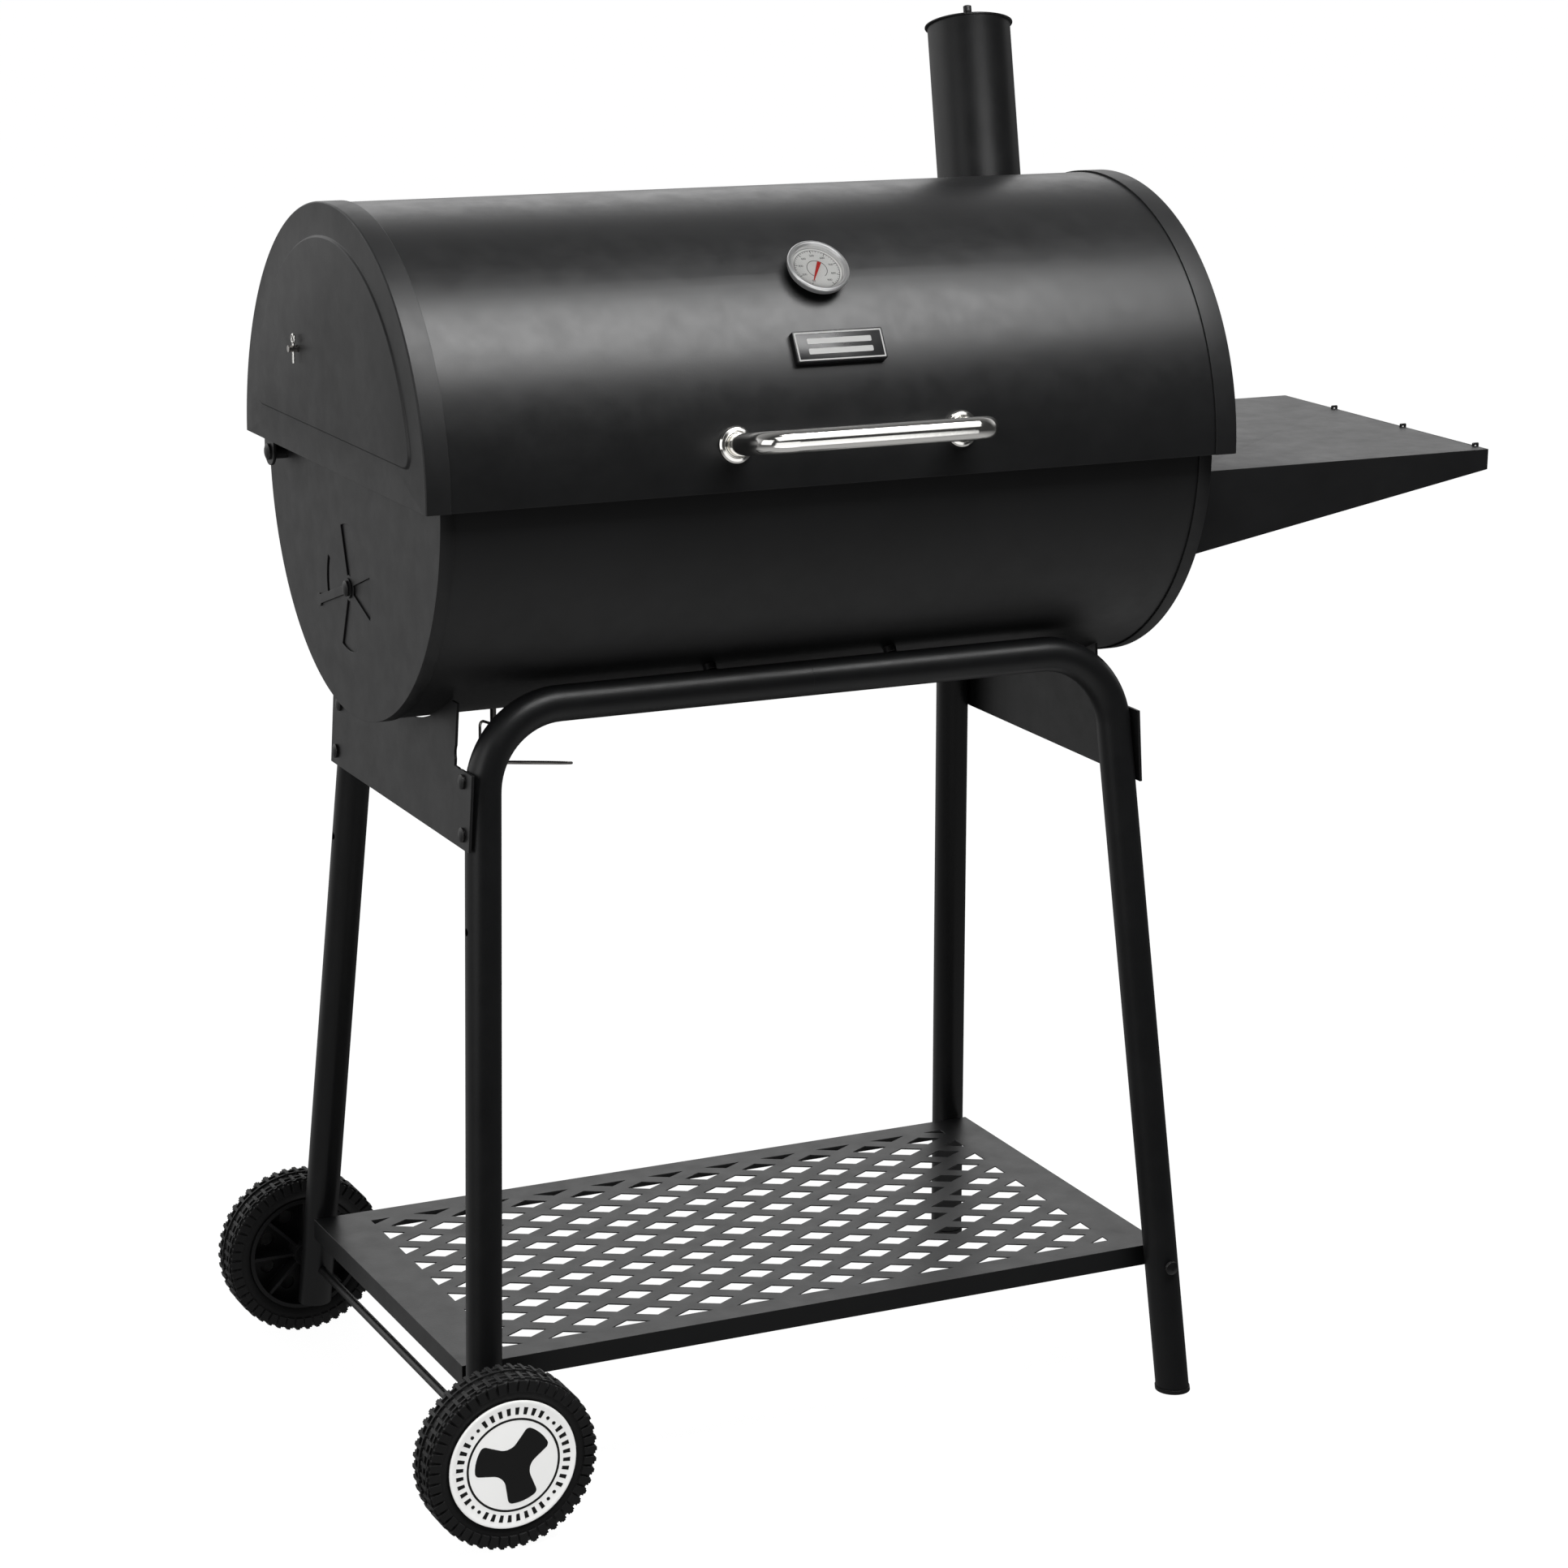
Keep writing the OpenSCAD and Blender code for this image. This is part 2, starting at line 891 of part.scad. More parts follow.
// side_x is 1 for the right half, side_y is -1 for the front
module leg_tube(r, r_bend, side_x, side_y) {
    rotate([0, 0, side_x > 0 ? 0 : 180])
        translate([0, side_x * side_y * rail_y, rail_z])
            rotate([side_x * side_y * lean, 0, 0])
                tube_path(r, r_bend, side_x > 0 ? splay_right : splay_left);
}

module leg(side_x, side_y) {
    cut = side_x > 0 ? plug_h : left_cut_z;
    foot_x = side_x > 0 ? foot_x_right : foot_x_left;
    difference() {
        leg_tube(tube_r, tube_r + 0.05, side_x, side_y);
        leg_tube(tube_in, tube_in - 0.05, side_x, side_y);
        translate([side_x * 330 - 200, side_y * 230 - 100, cut - 400])
            cube([400, 200, 400]);
        rail_holes();
        bracket_holes(side_x);
        translate([side_x * leg_x(shelf_bolt_z, foot_x), 0, shelf_bolt_z])
            rotate([90, 0, 0])
                cylinder(r = 3 + bolt_play, h = 600, center = true);
        bar_y([axle_x, -400, wheel_r], 800, axle_r + 0.2);
        translate([side_x * (leg_x(spare_hole_z, foot_x) + tube_r + 2), 0, 0])
            translate([0, side_y * leg_y(spare_hole_z), spare_hole_z])
                rotate([0, -90 * side_x, 0])
                    cylinder(r = 3.5, h = 12);
    }
}

module front_leg_left() placed() color("#1b1c1e") leg(-1, -1);

module front_leg_right() placed() color("#1b1c1e") leg(1, -1);

module rear_leg_left() placed() color("#1b1c1e") leg(-1, 1);

module rear_leg_right() placed() color("#1b1c1e") leg(1, 1);

module rail_couplers() placed() color("#3a3a3c") {
    for (side = [-1, 1])
        difference() {
            bar_x([-60, side * rail_y, rail_z], 120, tube_in - gap);
            bar_x([-61, side * rail_y, rail_z], 122, tube_in - 2);
        }
}

module foot_plugs() placed() color("#141415") {
    for (side_y = [-1, 1]) {
        intersection() {
            leg_tube(tube_r + 0.8, tube_r, 1, side_y);
            translate([130, side_y * 230 - 100, 0])
                cube([400, 200, plug_h - gap]);
        }
        intersection() {
            leg_tube(tube_in - gap, tube_in - 1, 1, side_y);
            translate([130, side_y * 230 - 100, 1])
                cube([400, 200, 20]);
        }
    }
}

module firebox_bolts() placed() color("#1a1a1c") {
    start = 6;
    seat = tube_r + rail_gap + sheet + 3 * gap;
    for (side = [-1, 1])
        for (x = rail_bolt_x)
            on_rail(side, x) {
                translate([0, 0, seat])
                    dome_head(6.5, 4);
                translate([0, 0, start])
                    cylinder(r = 3, h = seat - start);
            }
}

module firebox_fittings() placed() color("#1a1a1c") {
    for (side = [-1, 1])
        for (x = rail_bolt_x)
            on_rail(side, x)
                translate([0, 0, tube_r + gap])
                    difference() {
                        cylinder(r = 6, h = rail_gap - 2 * gap);
                        translate([0, 0, -1])
                            cylinder(r = 3 + gap, h = rail_gap + 2);
                    }
}

// ---------------------------------------------------------------- side brackets

// Plane of the legs on one side: local X points outward, local Z runs up the legs
module leg_plane(side_x) {
    foot_x = side_x > 0 ? foot_x_right : foot_x_left;
    mirror([side_x > 0 ? 0 : 1, 0, 0])
        translate([leg_top_x, 0, rail_z])
            rotate([0, -atan((foot_x - leg_top_x) / rail_z), 0])
                children();
}

module bracket_outline(side_x) {
    drop = bracket_drop(side_x);
    low = bracket_low - rail_z - drop;
    edge = 176;
    step = -51 - drop;
    neck = side_x > 0 ? 100 : 134;
    difference() {
        union() {
            translate([-edge, low])
                square([2 * edge, step - low]);
            translate([-neck - 1, step - 5])
                square([2 * neck + 2, 60]);
        }
        translate([0, firebox_z - rail_z])
            circle(skin_r + 2);
        for (side = [-1, 1])
            translate([side * (neck + 12), step + 12])
                circle(12.5);
    }
}

module side_bracket(side_x) {
    leg_plane(side_x)
        translate([tube_r + gap + bracket_t / 2, 0, 0])
            difference() {
                along_x(bracket_t)
                    bracket_outline(side_x);
                bracket_points(side_x)
                    bar_x([-10, 0, 0], 20, 3 + bolt_play);
            }
}

// The bolts go through the outer wall of the leg only
module bracket_points(side_x) {
    for (side_y = [-1, 1])
        for (z = bracket_bolt_z) {
            bolt_z = z - bracket_drop(side_x);
            translate([0, side_y * leg_y(bolt_z), bolt_z - rail_z])
                children();
        }
}

module bracket_holes(side_x) {
    leg_plane(side_x)
        bracket_points(side_x)
            bar_x([0, 0, 0], 30, 3 + bolt_play);
}

module side_bracket_left() placed() color("#37383a") side_bracket(-1);

module side_bracket_right() placed() color("#37383a") side_bracket(1);

module bracket_bolts() placed() color("#121213") {
    for (side_x = [-1, 1])
        leg_plane(side_x)
            bracket_points(side_x)
                translate([tube_r + bracket_t + 2 * gap, 0, 0])
                    rotate([0, 90, 0]) {
                        dome_head(6.5, 4);
                        translate([0, 0, -bracket_shank])
                            cylinder(r = 3, h = bracket_shank);
                    }
}

// ---------------------------------------------------------------- lower shelf

module diamond(w, h) {
    polygon([[-w / 2, 0], [0, -h / 2], [w / 2, 0], [0, h / 2]]);
}

// Staggered rows of diamonds, cut off square at the edges of the pattern
module diamond_field() {
    pitch_x = 62.7;
    pitch_y = 21.4;
    columns = 10;
    rows = 16;
    intersection() {
        square([columns * pitch_x, rows * pitch_y], center = true);
        for (row = [0 : rows])
            for (col = [0 : columns - row % 2])
                translate([(col - columns / 2 + (row % 2) / 2) * pitch_x,
                    (row - rows / 2) * pitch_y])
                    diamond(38, 21);
    }
}

module lower_shelf() placed() color("#1c1c1e") {
    translate([shelf_x, 0, 0])
        difference() {
            translate([-shelf_len / 2, -shelf_w / 2, shelf_z - shelf_flange])
                cube([shelf_len, shelf_w, shelf_flange]);
            translate([-shelf_len / 2 + 1.2, -shelf_w / 2 + 1.2, shelf_z - shelf_flange - 1])
                cube([shelf_len - 2.4, shelf_w - 2.4, shelf_flange - 0.2]);
            translate([3, 0, shelf_z - 3])
                linear_extrude(height = 5)
                    diamond_field();
            for (x = [-leg_x(shelf_bolt_z, foot_x_left), leg_x(shelf_bolt_z, foot_x_right)])
                bar_y([x - shelf_x, -300, shelf_bolt_z], 600, 3 + bolt_play);
        }
}

module shelf_bolts() placed() color("#121213") {
    for (side_y = [-1, 1])
        for (x = [-leg_x(shelf_bolt_z, foot_x_left), leg_x(shelf_bolt_z, foot_x_right)])
            translate([x, side_y * (leg_y(shelf_bolt_z) + tube_r + 2.2), shelf_bolt_z])
                rotate([side_y * -90, 0, 0]) {
                    dome_head(6.5, 4);
                    translate([0, 0, -50])
                        cylinder(r = 3, h = 50);
                }
}

// ---------------------------------------------------------------- wheels

module axle() placed() color("#1a1a1c") {
    bar_y([axle_x, -axle_len / 2, wheel_r], axle_len, axle_r);
}

module axle_fittings() placed() color("#1a1a1c") {
    inner = leg_y(wheel_r) + tube_r + 2.2;
    outer = wheel_y - wheel_w / 2 - 0.3;
    push_nut = wheel_y + 8.5;
    for (side = [-1, 1])
        translate([axle_x, 0, wheel_r])
            rotate([side * -90, 0, 0]) {
                difference() {
                    translate([0, 0, inner])
                        cylinder(r = 7.5, h = outer - inner);
                    cylinder(r = axle_r + gap, h = 400);
                }
                difference() {
                    translate([0, 0, push_nut])
                        cylinder(r = 9, h = 3);
                    cylinder(r = axle_r + gap, h = 400);
                }
            }
}

// A wheel's parts are drawn around Z, outer side up, middle at z = 0
module on_wheel(side) {
    translate([axle_x, side * wheel_y, wheel_r])
        rotate([side * -90, 0, 0])
            children();
}

module wheel_hub(side) {
    ribs = 8;
    on_wheel(side)
        difference() {
            union() {
                translate([0, 0, -wheel_w / 2])
                    cylinder(r = 12, h = wheel_w / 2 + 8);
                translate([0, 0, 2])
                    cylinder(r = hub_rim_r - 1, h = 3);
                difference() {
                    translate([0, 0, -wheel_w / 2 + 3])
                        cylinder(r = hub_rim_r, h = wheel_w - 8);
                    translate([0, 0, -wheel_w])
                        cylinder(r = hub_rim_r - 4, h = 2 * wheel_w);
                }
                for (i = [0 : ribs - 1])
                    rotate([0, 0, i * 360 / ribs])
                        translate([8, -1.5, -wheel_w / 2 + 5])
                            cube([hub_rim_r - 10, 3, wheel_w / 2 - 2]);
            }
            translate([0, 0, -wheel_w])
                cylinder(r = axle_r + run, h = 2 * wheel_w);
            for (i = [0 : ribs - 1])
                rotate([0, 0, (i + 0.5) * 360 / ribs])
                    translate([37, 0, -5])
                        cylinder(r = 7, h = 20);
        }
}

module tyre(side) {
    half = wheel_w / 2;
    on_wheel(side)
        rotate_extrude()
            polygon([[hub_rim_r + gap, -half + 3], [62, -half + 1], [66, -half], [74, -half],
                [wheel_r, -half + 4], [wheel_r, half - 4], [74, half], [66, half],
                [62, half - 1], [hub_rim_r + gap, half - 5]]);
}

module hub_cap(side) {
    on_wheel(side)
        translate([0, 0, wheel_w / 2 - 5 + gap])
            rotate_extrude()
                polygon([[0, 4], [0, 5.5], [hub_cap_r - 4, 5.5], [hub_cap_r, 4.6],
                    [hub_cap_r, 3.6], [hub_rim_r - 4.2, 3.6], [hub_rim_r - 4.2, -2],
                    [hub_rim_r - 5.7, -2], [hub_rim_r - 5.7, 4]]);
}

module wheel_hub_front() placed() color("#18181a") wheel_hub(-1);

module wheel_hub_rear() placed() color("#18181a") wheel_hub(1);

module tyre_front() placed() color("#141415") tyre(-1);

module tyre_rear() placed() color("#141415") tyre(1);

module hub_cap_front() placed() color("#dcdcdc") hub_cap(-1);

module hub_cap_rear() placed() color("#dcdcdc") hub_cap(1);

// ---------------------------------------------------------------- side shelf

module side_outline(inset) {
    polygon([[side_root + inset, side_low - inset], [side_reach - inset, side_z - side_edge - inset],
        [side_reach - inset, side_z - inset], [side_root + inset, side_z - inset]]);
}

module side_shelf() placed() color("#3c3c3e") {
    difference() {
        along_y(side_w)
            side_outline(0);
        translate([0, 0, -0.001])
            along_y(side_w - 2 * sheet)
                polygon([[side_root + sheet, side_low - 40], [side_reach - sheet, side_z - side_edge - 40],
                    [side_reach - sheet, side_z - sheet], [side_root + sheet, side_z - sheet]]);
        for (p = shelf_bolt_points)
            bar_x([side_root - 5, p[0], p[1]], 20, 3 + bolt_play);
        for (y = hook_ys)
            translate([side_reach - hook_in, y, side_z - 5])
                cylinder(r = hook_wire + bolt_play, h = 10);
    }
}

module side_shelf_bolts() placed() color("#121213") {
    for (p = shelf_bolt_points) {
        translate([side_root + sheet + gap, p[0], p[1]])
            rotate([0, 90, 0]) {
                dome_head(6.5, 4);
                translate([0, 0, -14])
                    cylinder(r = 3, h = 14);
            }
        translate([box_in - 2 * gap, p[0], p[1]])
            rotate([0, -90, 0])
                nut(10, 5, 3 + gap);
    }
}

module tool_hooks() placed() color("#1a1a1c") {
    inner = side_reach - hook_in;
    outer = side_reach + hook_out;
    tip = side_reach + hook_reach - hook_wire;
    crest = side_z + 2;
    low = side_z - 16;
    for (y = hook_ys)
        translate([0, y, 0]) {
            bar([inner, 0, side_z - 8], [inner, 0, crest], hook_wire);
            translate([inner, 0, crest])
                sphere(hook_wire);
            bar([inner, 0, crest], [outer, 0, crest], hook_wire);
            translate([outer, 0, crest])
                sphere(hook_wire);
            bar([outer, 0, crest], [outer, 0, low], hook_wire);
            translate([(outer + tip) / 2, 0, low])
                rotate([90, 0, 0])
                    rotate([0, 0, 180])
                        rotate_extrude(angle = 180)
                            translate([(tip - outer) / 2, 0])
                                circle(hook_wire);
            bar([tip, 0, low], [tip, 0, low + 6], hook_wire);
            translate([tip, 0, low + 6])
                sphere(hook_wire);
        }
}

// ---------------------------------------------------------------- grease cup holder

// Wire bent into an upside-down U in the XZ plane, top middle at the origin
module wire_hoop(half, drop, r, bend) {
    for (side = [0, 180])
        rotate([0, 0, side]) {
            bar_x([-1, 0, 0], half - bend + 1.2, r);
            translate([half - bend, 0, -bend])
                rotate([90, 0, 0])
                    rotate_extrude(angle = 90)
                        translate([bend, 0])
                            circle(r + 0.03);
            bar([half, 0, -bend + 0.2], [half, 0, -drop], r);
        }
}

module grease_cup_holder() placed() color("#77726c") {
    wire = 1.3;
    ring_r = 43;
    ring_x = -212;
    ring_z = 628;
    hoop_at = [-40.1, -10.75];
    hoop_turn = -75;
    hoop_half = 11.13;
    hoop_top = 672;
    tab_at = 7;
    tab_h = firebox_z - skin_r - hoop_top + 1 - gap;
    translate([ring_x, 0, ring_z])
        rotate([-13.5, 6.5, 0])
            rotate_extrude()
                translate([ring_r, 0])
                    circle(wire + 0.03);
    translate([ring_x + hoop_at[0], hoop_at[1], hoop_top])
        rotate([0, 0, hoop_turn]) {
            wire_hoop(hoop_half, hoop_top - ring_z - 3, wire, 6);
            translate([tab_at, -2, -1])
                cube([4, 4, tab_h]);
        }
}

lid_skin();
lid_end_left();
lid_end_right();
hinge_ears();
hinge_bolts();
hinge_fittings();
lid_handle();
handle_bezels();
handle_screws();
thermometer_case();
thermometer_dial();
thermometer_needle();
thermometer_lens();
thermometer_nut();
name_plate();
chimney_pipe();
chimney_flange();
chimney_cap();
cap_knob();
cap_bridge();
warming_rack();
rack_legs();
cotter_pins();
firebox_skin();
firebox_end_left();
firebox_end_right();
damper_disc();
damper_lever();
damper_bolt();
charcoal_tray();
grate_rests();
cooking_grates();
rack_pivots();
front_leg_left();
front_leg_right();
rear_leg_left();
rear_leg_right();
rail_couplers();
firebox_bolts();
firebox_fittings();
side_bracket_left();
side_bracket_right();
bracket_bolts();
lower_shelf();
shelf_bolts();
axle();
axle_fittings();
wheel_hub_front();
wheel_hub_rear();
tyre_front();
tyre_rear();
hub_cap_front();
hub_cap_rear();
side_shelf();
side_shelf_bolts();
tool_hooks();
grease_cup_holder();
foot_plugs();
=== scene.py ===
import json
import math

import bmesh
import bpy
from mathutils import Matrix, Vector

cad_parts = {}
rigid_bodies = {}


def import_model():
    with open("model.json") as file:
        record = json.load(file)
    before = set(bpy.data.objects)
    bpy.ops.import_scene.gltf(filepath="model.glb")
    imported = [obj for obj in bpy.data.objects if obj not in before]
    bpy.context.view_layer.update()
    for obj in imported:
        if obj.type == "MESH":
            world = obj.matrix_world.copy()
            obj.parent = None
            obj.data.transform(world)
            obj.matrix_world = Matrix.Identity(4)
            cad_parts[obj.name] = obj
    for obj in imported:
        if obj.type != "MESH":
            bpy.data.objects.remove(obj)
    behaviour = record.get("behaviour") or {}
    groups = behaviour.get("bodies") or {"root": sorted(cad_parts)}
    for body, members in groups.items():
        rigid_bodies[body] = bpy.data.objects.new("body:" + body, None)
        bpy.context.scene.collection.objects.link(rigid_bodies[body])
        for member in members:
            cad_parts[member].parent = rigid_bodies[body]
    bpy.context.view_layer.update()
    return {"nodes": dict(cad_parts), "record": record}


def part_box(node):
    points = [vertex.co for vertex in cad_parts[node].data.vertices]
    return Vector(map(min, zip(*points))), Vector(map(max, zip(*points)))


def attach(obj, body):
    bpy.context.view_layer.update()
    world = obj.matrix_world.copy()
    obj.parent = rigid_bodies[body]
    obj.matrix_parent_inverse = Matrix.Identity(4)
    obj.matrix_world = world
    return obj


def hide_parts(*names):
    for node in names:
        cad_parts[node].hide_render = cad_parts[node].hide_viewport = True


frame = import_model()
NODES = frame["nodes"]
MM = 0.001

# ---------------------------------------------------------------- places taken from the frame


def middle(node):
    lo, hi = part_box(node)
    return (lo + hi) / 2


SKIN_LO, SKIN_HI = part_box("lid_skin")
MID_X = (SKIN_LO.x + SKIN_HI.x) / 2
AXIS_Y = (SKIN_LO.y + SKIN_HI.y) / 2
LID_Z = SKIN_LO.z
END_LO, END_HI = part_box("lid_end_left")
LID_R = (END_HI.y - END_LO.y) / 2
PANEL_RISE = 2 * MM
LID_FACE = MID_X - END_LO.x - PANEL_RISE


def on_lid(degrees, height, x):
    """Frame on the lid: Z points away from the lid's axis, Y runs up along the skin."""
    tilt = Matrix.Rotation(math.radians(90 - degrees), 4, "X")
    return Matrix.Translation((x, AXIS_Y, LID_Z)) @ tilt @ Matrix.Translation((0, 0, height))


# ---------------------------------------------------------------- material building


def new_material(name):
    mat = bpy.data.materials.new(name)
    mat.use_nodes = True
    tree = mat.node_tree
    return mat, tree, tree.nodes["Principled BSDF"]


def add(tree, kind, **values):
    node = tree.nodes.new(kind)
    for key, value in values.items():
        if key in node.inputs:
            node.inputs[key].default_value = value
        else:
            setattr(node, key, value)
    return node


def noise(tree, coords, scale, detail=3.0, roughness=0.5):
    node = add(tree, "ShaderNodeTexNoise", Scale=scale, Detail=detail, Roughness=roughness)
    tree.links.new(coords, node.inputs["Vector"])
    return node.outputs["Fac"]


def remap(tree, value, low, high, new_low, new_high):
    node = add(tree, "ShaderNodeMapRange")
    for key, number in zip(("From Min", "From Max", "To Min", "To Max"), (low, high, new_low, new_high)):
        node.inputs[key].default_value = number
    tree.links.new(value, node.inputs["Value"])
    return node.outputs["Result"]


def multiply(tree, a, b):
    node = add(tree, "ShaderNodeMath", operation="MULTIPLY", use_clamp=True)
    tree.links.new(a, node.inputs[0])
    tree.links.new(b, node.inputs[1])
    return node.outputs[0]


def mix_colour(tree, fac, a, b):
    node = add(tree, "ShaderNodeMix", data_type="RGBA")
    tree.links.new(fac, node.inputs["Factor"])
    for socket, value in ((node.inputs[6], a), (node.inputs[7], b)):
        if isinstance(value, tuple):
            socket.default_value = value + (1.0,)
        else:
            tree.links.new(value, socket)
    return node.outputs[2]


def tinted(colour, factor):
    return tuple(min(1.0, c * factor) for c in colour)


def rounded_normal(tree, radius):
    return add(tree, "ShaderNodeBevel", samples=4, Radius=radius).outputs["Normal"]


def edge_wear_and_highlight_mask(tree, coords, radius, spread):
    """1 on the sharp edges, broken up by noise, 0 on the faces; it carries edge wear and painted edge
    highlights.
    """
    geometry = add(tree, "ShaderNodeNewGeometry")
    dot = add(tree, "ShaderNodeVectorMath", operation="DOT_PRODUCT")
    tree.links.new(geometry.outputs["Normal"], dot.inputs[0])
    tree.links.new(rounded_normal(tree, radius), dot.inputs[1])
    edge = remap(tree, dot.outputs["Value"], 1.0, 0.86, 0.0, 1.0)
    patchy = remap(tree, noise(tree, coords, spread, 4.0, 0.6), 0.42, 0.66, 0.15, 1.0)
    return multiply(tree, edge, patchy)


def surface(name, colour, rough, **look):
    """A procedural finish: uneven colour and roughness, grain, rounded edges, edge wear that is partly
    painted edge highlight, and, where a band colour is given, painted light that makes the end faces lighter
    than the band.
    """
    vary = look.get("vary", 0.14)
    rough_vary = look.get("rough_vary", 0.05)
    mat, tree, shader = new_material(name)
    coords = add(tree, "ShaderNodeTexCoord").outputs["Object"]
    clouds = remap(tree, noise(tree, coords, 7.0, 4.0), 0.3, 0.7, 0.0, 1.0)
    tone = mix_colour(tree, clouds, tinted(colour, 1 - vary), tinted(colour, 1 + vary))
    # Painted light: faces whose normal runs along X (the lid's ends) keep the lighter colour and the band
    # faces take the darker band colour, standing in for how the light falls on the ends.
    if "band" in look:
        geometry = add(tree, "ShaderNodeNewGeometry")
        split = add(tree, "ShaderNodeSeparateXYZ")
        tree.links.new(geometry.outputs["Normal"], split.inputs[0])
        along = add(tree, "ShaderNodeMath", operation="ABSOLUTE")
        tree.links.new(split.outputs["X"], along.inputs[0])
        lit_end_faces = remap(tree, along.outputs[0], 0.3, 0.8, 0.0, 1.0)
        tone = mix_colour(tree, lit_end_faces, look["band"], tone)
    # Wear and painted highlight: the sharp edges, broken up by noise, take a lighter colour. It stands both
    # for rubbed edges and for the light lines along them.
    if "wear" in look:
        mask = edge_wear_and_highlight_mask(tree, coords, 1.0 * MM, 90.0)
        tone = mix_colour(tree, mask, tone, look["wear"])
    tree.links.new(tone, shader.inputs["Base Color"])
    patches = noise(tree, coords, look.get("patch_scale", 38.0), 5.0, 0.6)
    tree.links.new(remap(tree, patches, 0.25, 0.75, rough - rough_vary, rough + rough_vary),
                   shader.inputs["Roughness"])
    shader.inputs["Metallic"].default_value = look.get("metallic", 0.0)
    grain = noise(tree, coords, look.get("grain_scale", 800.0), 2.0, 0.5)
    bump = add(tree, "ShaderNodeBump", Strength=look.get("grain", 0.12), Distance=0.3 * MM)
    tree.links.new(grain, bump.inputs["Height"])
    tree.links.new(rounded_normal(tree, look.get("round", 0.5 * MM)), bump.inputs["Normal"])
    tree.links.new(bump.outputs["Normal"], shader.inputs["Normal"])
    return mat


def glass_material():
    mat, tree, shader = new_material("lens_glass")
    coords = add(tree, "ShaderNodeTexCoord").outputs["Object"]
    smears = remap(tree, noise(tree, coords, 160.0, 4.0), 0.4, 0.7, 0.02, 0.12)
    tree.links.new(smears, shader.inputs["Roughness"])
    shader.inputs["Base Color"].default_value = (0.96, 0.98, 0.98, 1.0)
    clear = add(tree, "ShaderNodeBsdfTransparent")
    blend = add(tree, "ShaderNodeMixShader")
    tree.links.new(remap(tree, noise(tree, coords, 60.0, 3.0), 0.3, 0.7, 0.03, 0.06), blend.inputs["Fac"])
    tree.links.new(clear.outputs[0], blend.inputs[1])
    tree.links.new(shader.outputs[0], blend.inputs[2])
    tree.links.new(blend.outputs[0], tree.nodes["Material Output"].inputs["Surface"])
    return mat


BARE_STEEL = (0.16, 0.155, 0.15)
MATERIALS = {
    # The edge colours below lighten the sharp edges. They are partly rubbed paint or bare steel and partly
    # painted edge highlight.
    "lid_paint": surface("lid_paint", (0.0105, 0.0107, 0.0112), 0.36, wear=(0.03, 0.03, 0.03)),
    # end_paint's lighter base colour is painted light on the lid's ends; the band colour keeps the flange
    # band as dark as the lid.
    "end_paint": surface("end_paint", (0.016, 0.0161, 0.0166), 0.45, wear=(0.04, 0.04, 0.04),
                         band=(0.0105, 0.0107, 0.0112)),
    "firebox_paint": surface("firebox_paint", (0.0095, 0.0096, 0.0102), 0.43, wear=(0.03, 0.03, 0.03)),
    "frame_paint": surface("frame_paint", (0.0075, 0.0078, 0.0084), 0.4, wear=(0.02, 0.02, 0.02),
                           grain_scale=520.0, grain=0.16),
    "black_steel": surface("black_steel", (0.007, 0.007, 0.0075), 0.38, wear=BARE_STEEL,
                           grain_scale=1500.0),
    "chrome": surface("chrome", (0.86, 0.85, 0.82), 0.11, metallic=1.0, vary=0.03, rough_vary=0.04,
                      grain=0.015, patch_scale=260.0),
    "gauge_metal": surface("gauge_metal", (0.84, 0.84, 0.84), 0.36, metallic=0.8, vary=0.02, grain=0.03),
    "bright_steel": surface("bright_steel", (0.52, 0.52, 0.53), 0.28, metallic=1.0, vary=0.08, grain=0.06),
    "plated_wire": surface("plated_wire", (0.46, 0.44, 0.42), 0.25, metallic=1.0, vary=0.12,
                           rough_vary=0.08, grain=0.06),
    "dial_white": surface("dial_white", (0.82, 0.82, 0.8), 0.5, vary=0.02, grain=0.03),
    "needle_red": surface("needle_red", (0.6, 0.02, 0.015), 0.3, vary=0.06, grain=0.02),
    "lens_glass": glass_material(),
    "plate_plastic": surface("plate_plastic", (0.012, 0.012, 0.013), 0.3, vary=0.1, grain=0.08),
    "cast_grate": surface("cast_grate", (0.014, 0.013, 0.0125), 0.62, wear=(0.06, 0.055, 0.05),
                          grain_scale=420.0, grain=0.5, vary=0.25),
    "tyre": surface("tyre", (0.0095, 0.0095, 0.0098), 0.58, vary=0.22, rough_vary=0.1,
                    wear=(0.03, 0.03, 0.031), grain_scale=950.0, grain=0.25),
    "hub_plastic": surface("hub_plastic", (0.008, 0.008, 0.0085), 0.45, grain_scale=1300.0, grain=0.14),
    "cap_plastic": surface("cap_plastic", (0.76, 0.76, 0.75), 0.3, vary=0.03, grain=0.04,
                           round=0.4 * MM),
    "print_black": surface("print_black", (0.012, 0.012, 0.012), 0.4, vary=0.1, grain=0.05),
    "print_white": surface("print_white", (0.72, 0.72, 0.71), 0.4, vary=0.03, grain=0.05),
}

SLOT_OF = {s["node"]: s["material_slot"] for s in frame["record"]["subparts"]}
for name, cad in NODES.items():
    cad.data.materials.clear()
    cad.data.materials.append(MATERIALS[SLOT_OF[name]])

# ---------------------------------------------------------------- mesh building


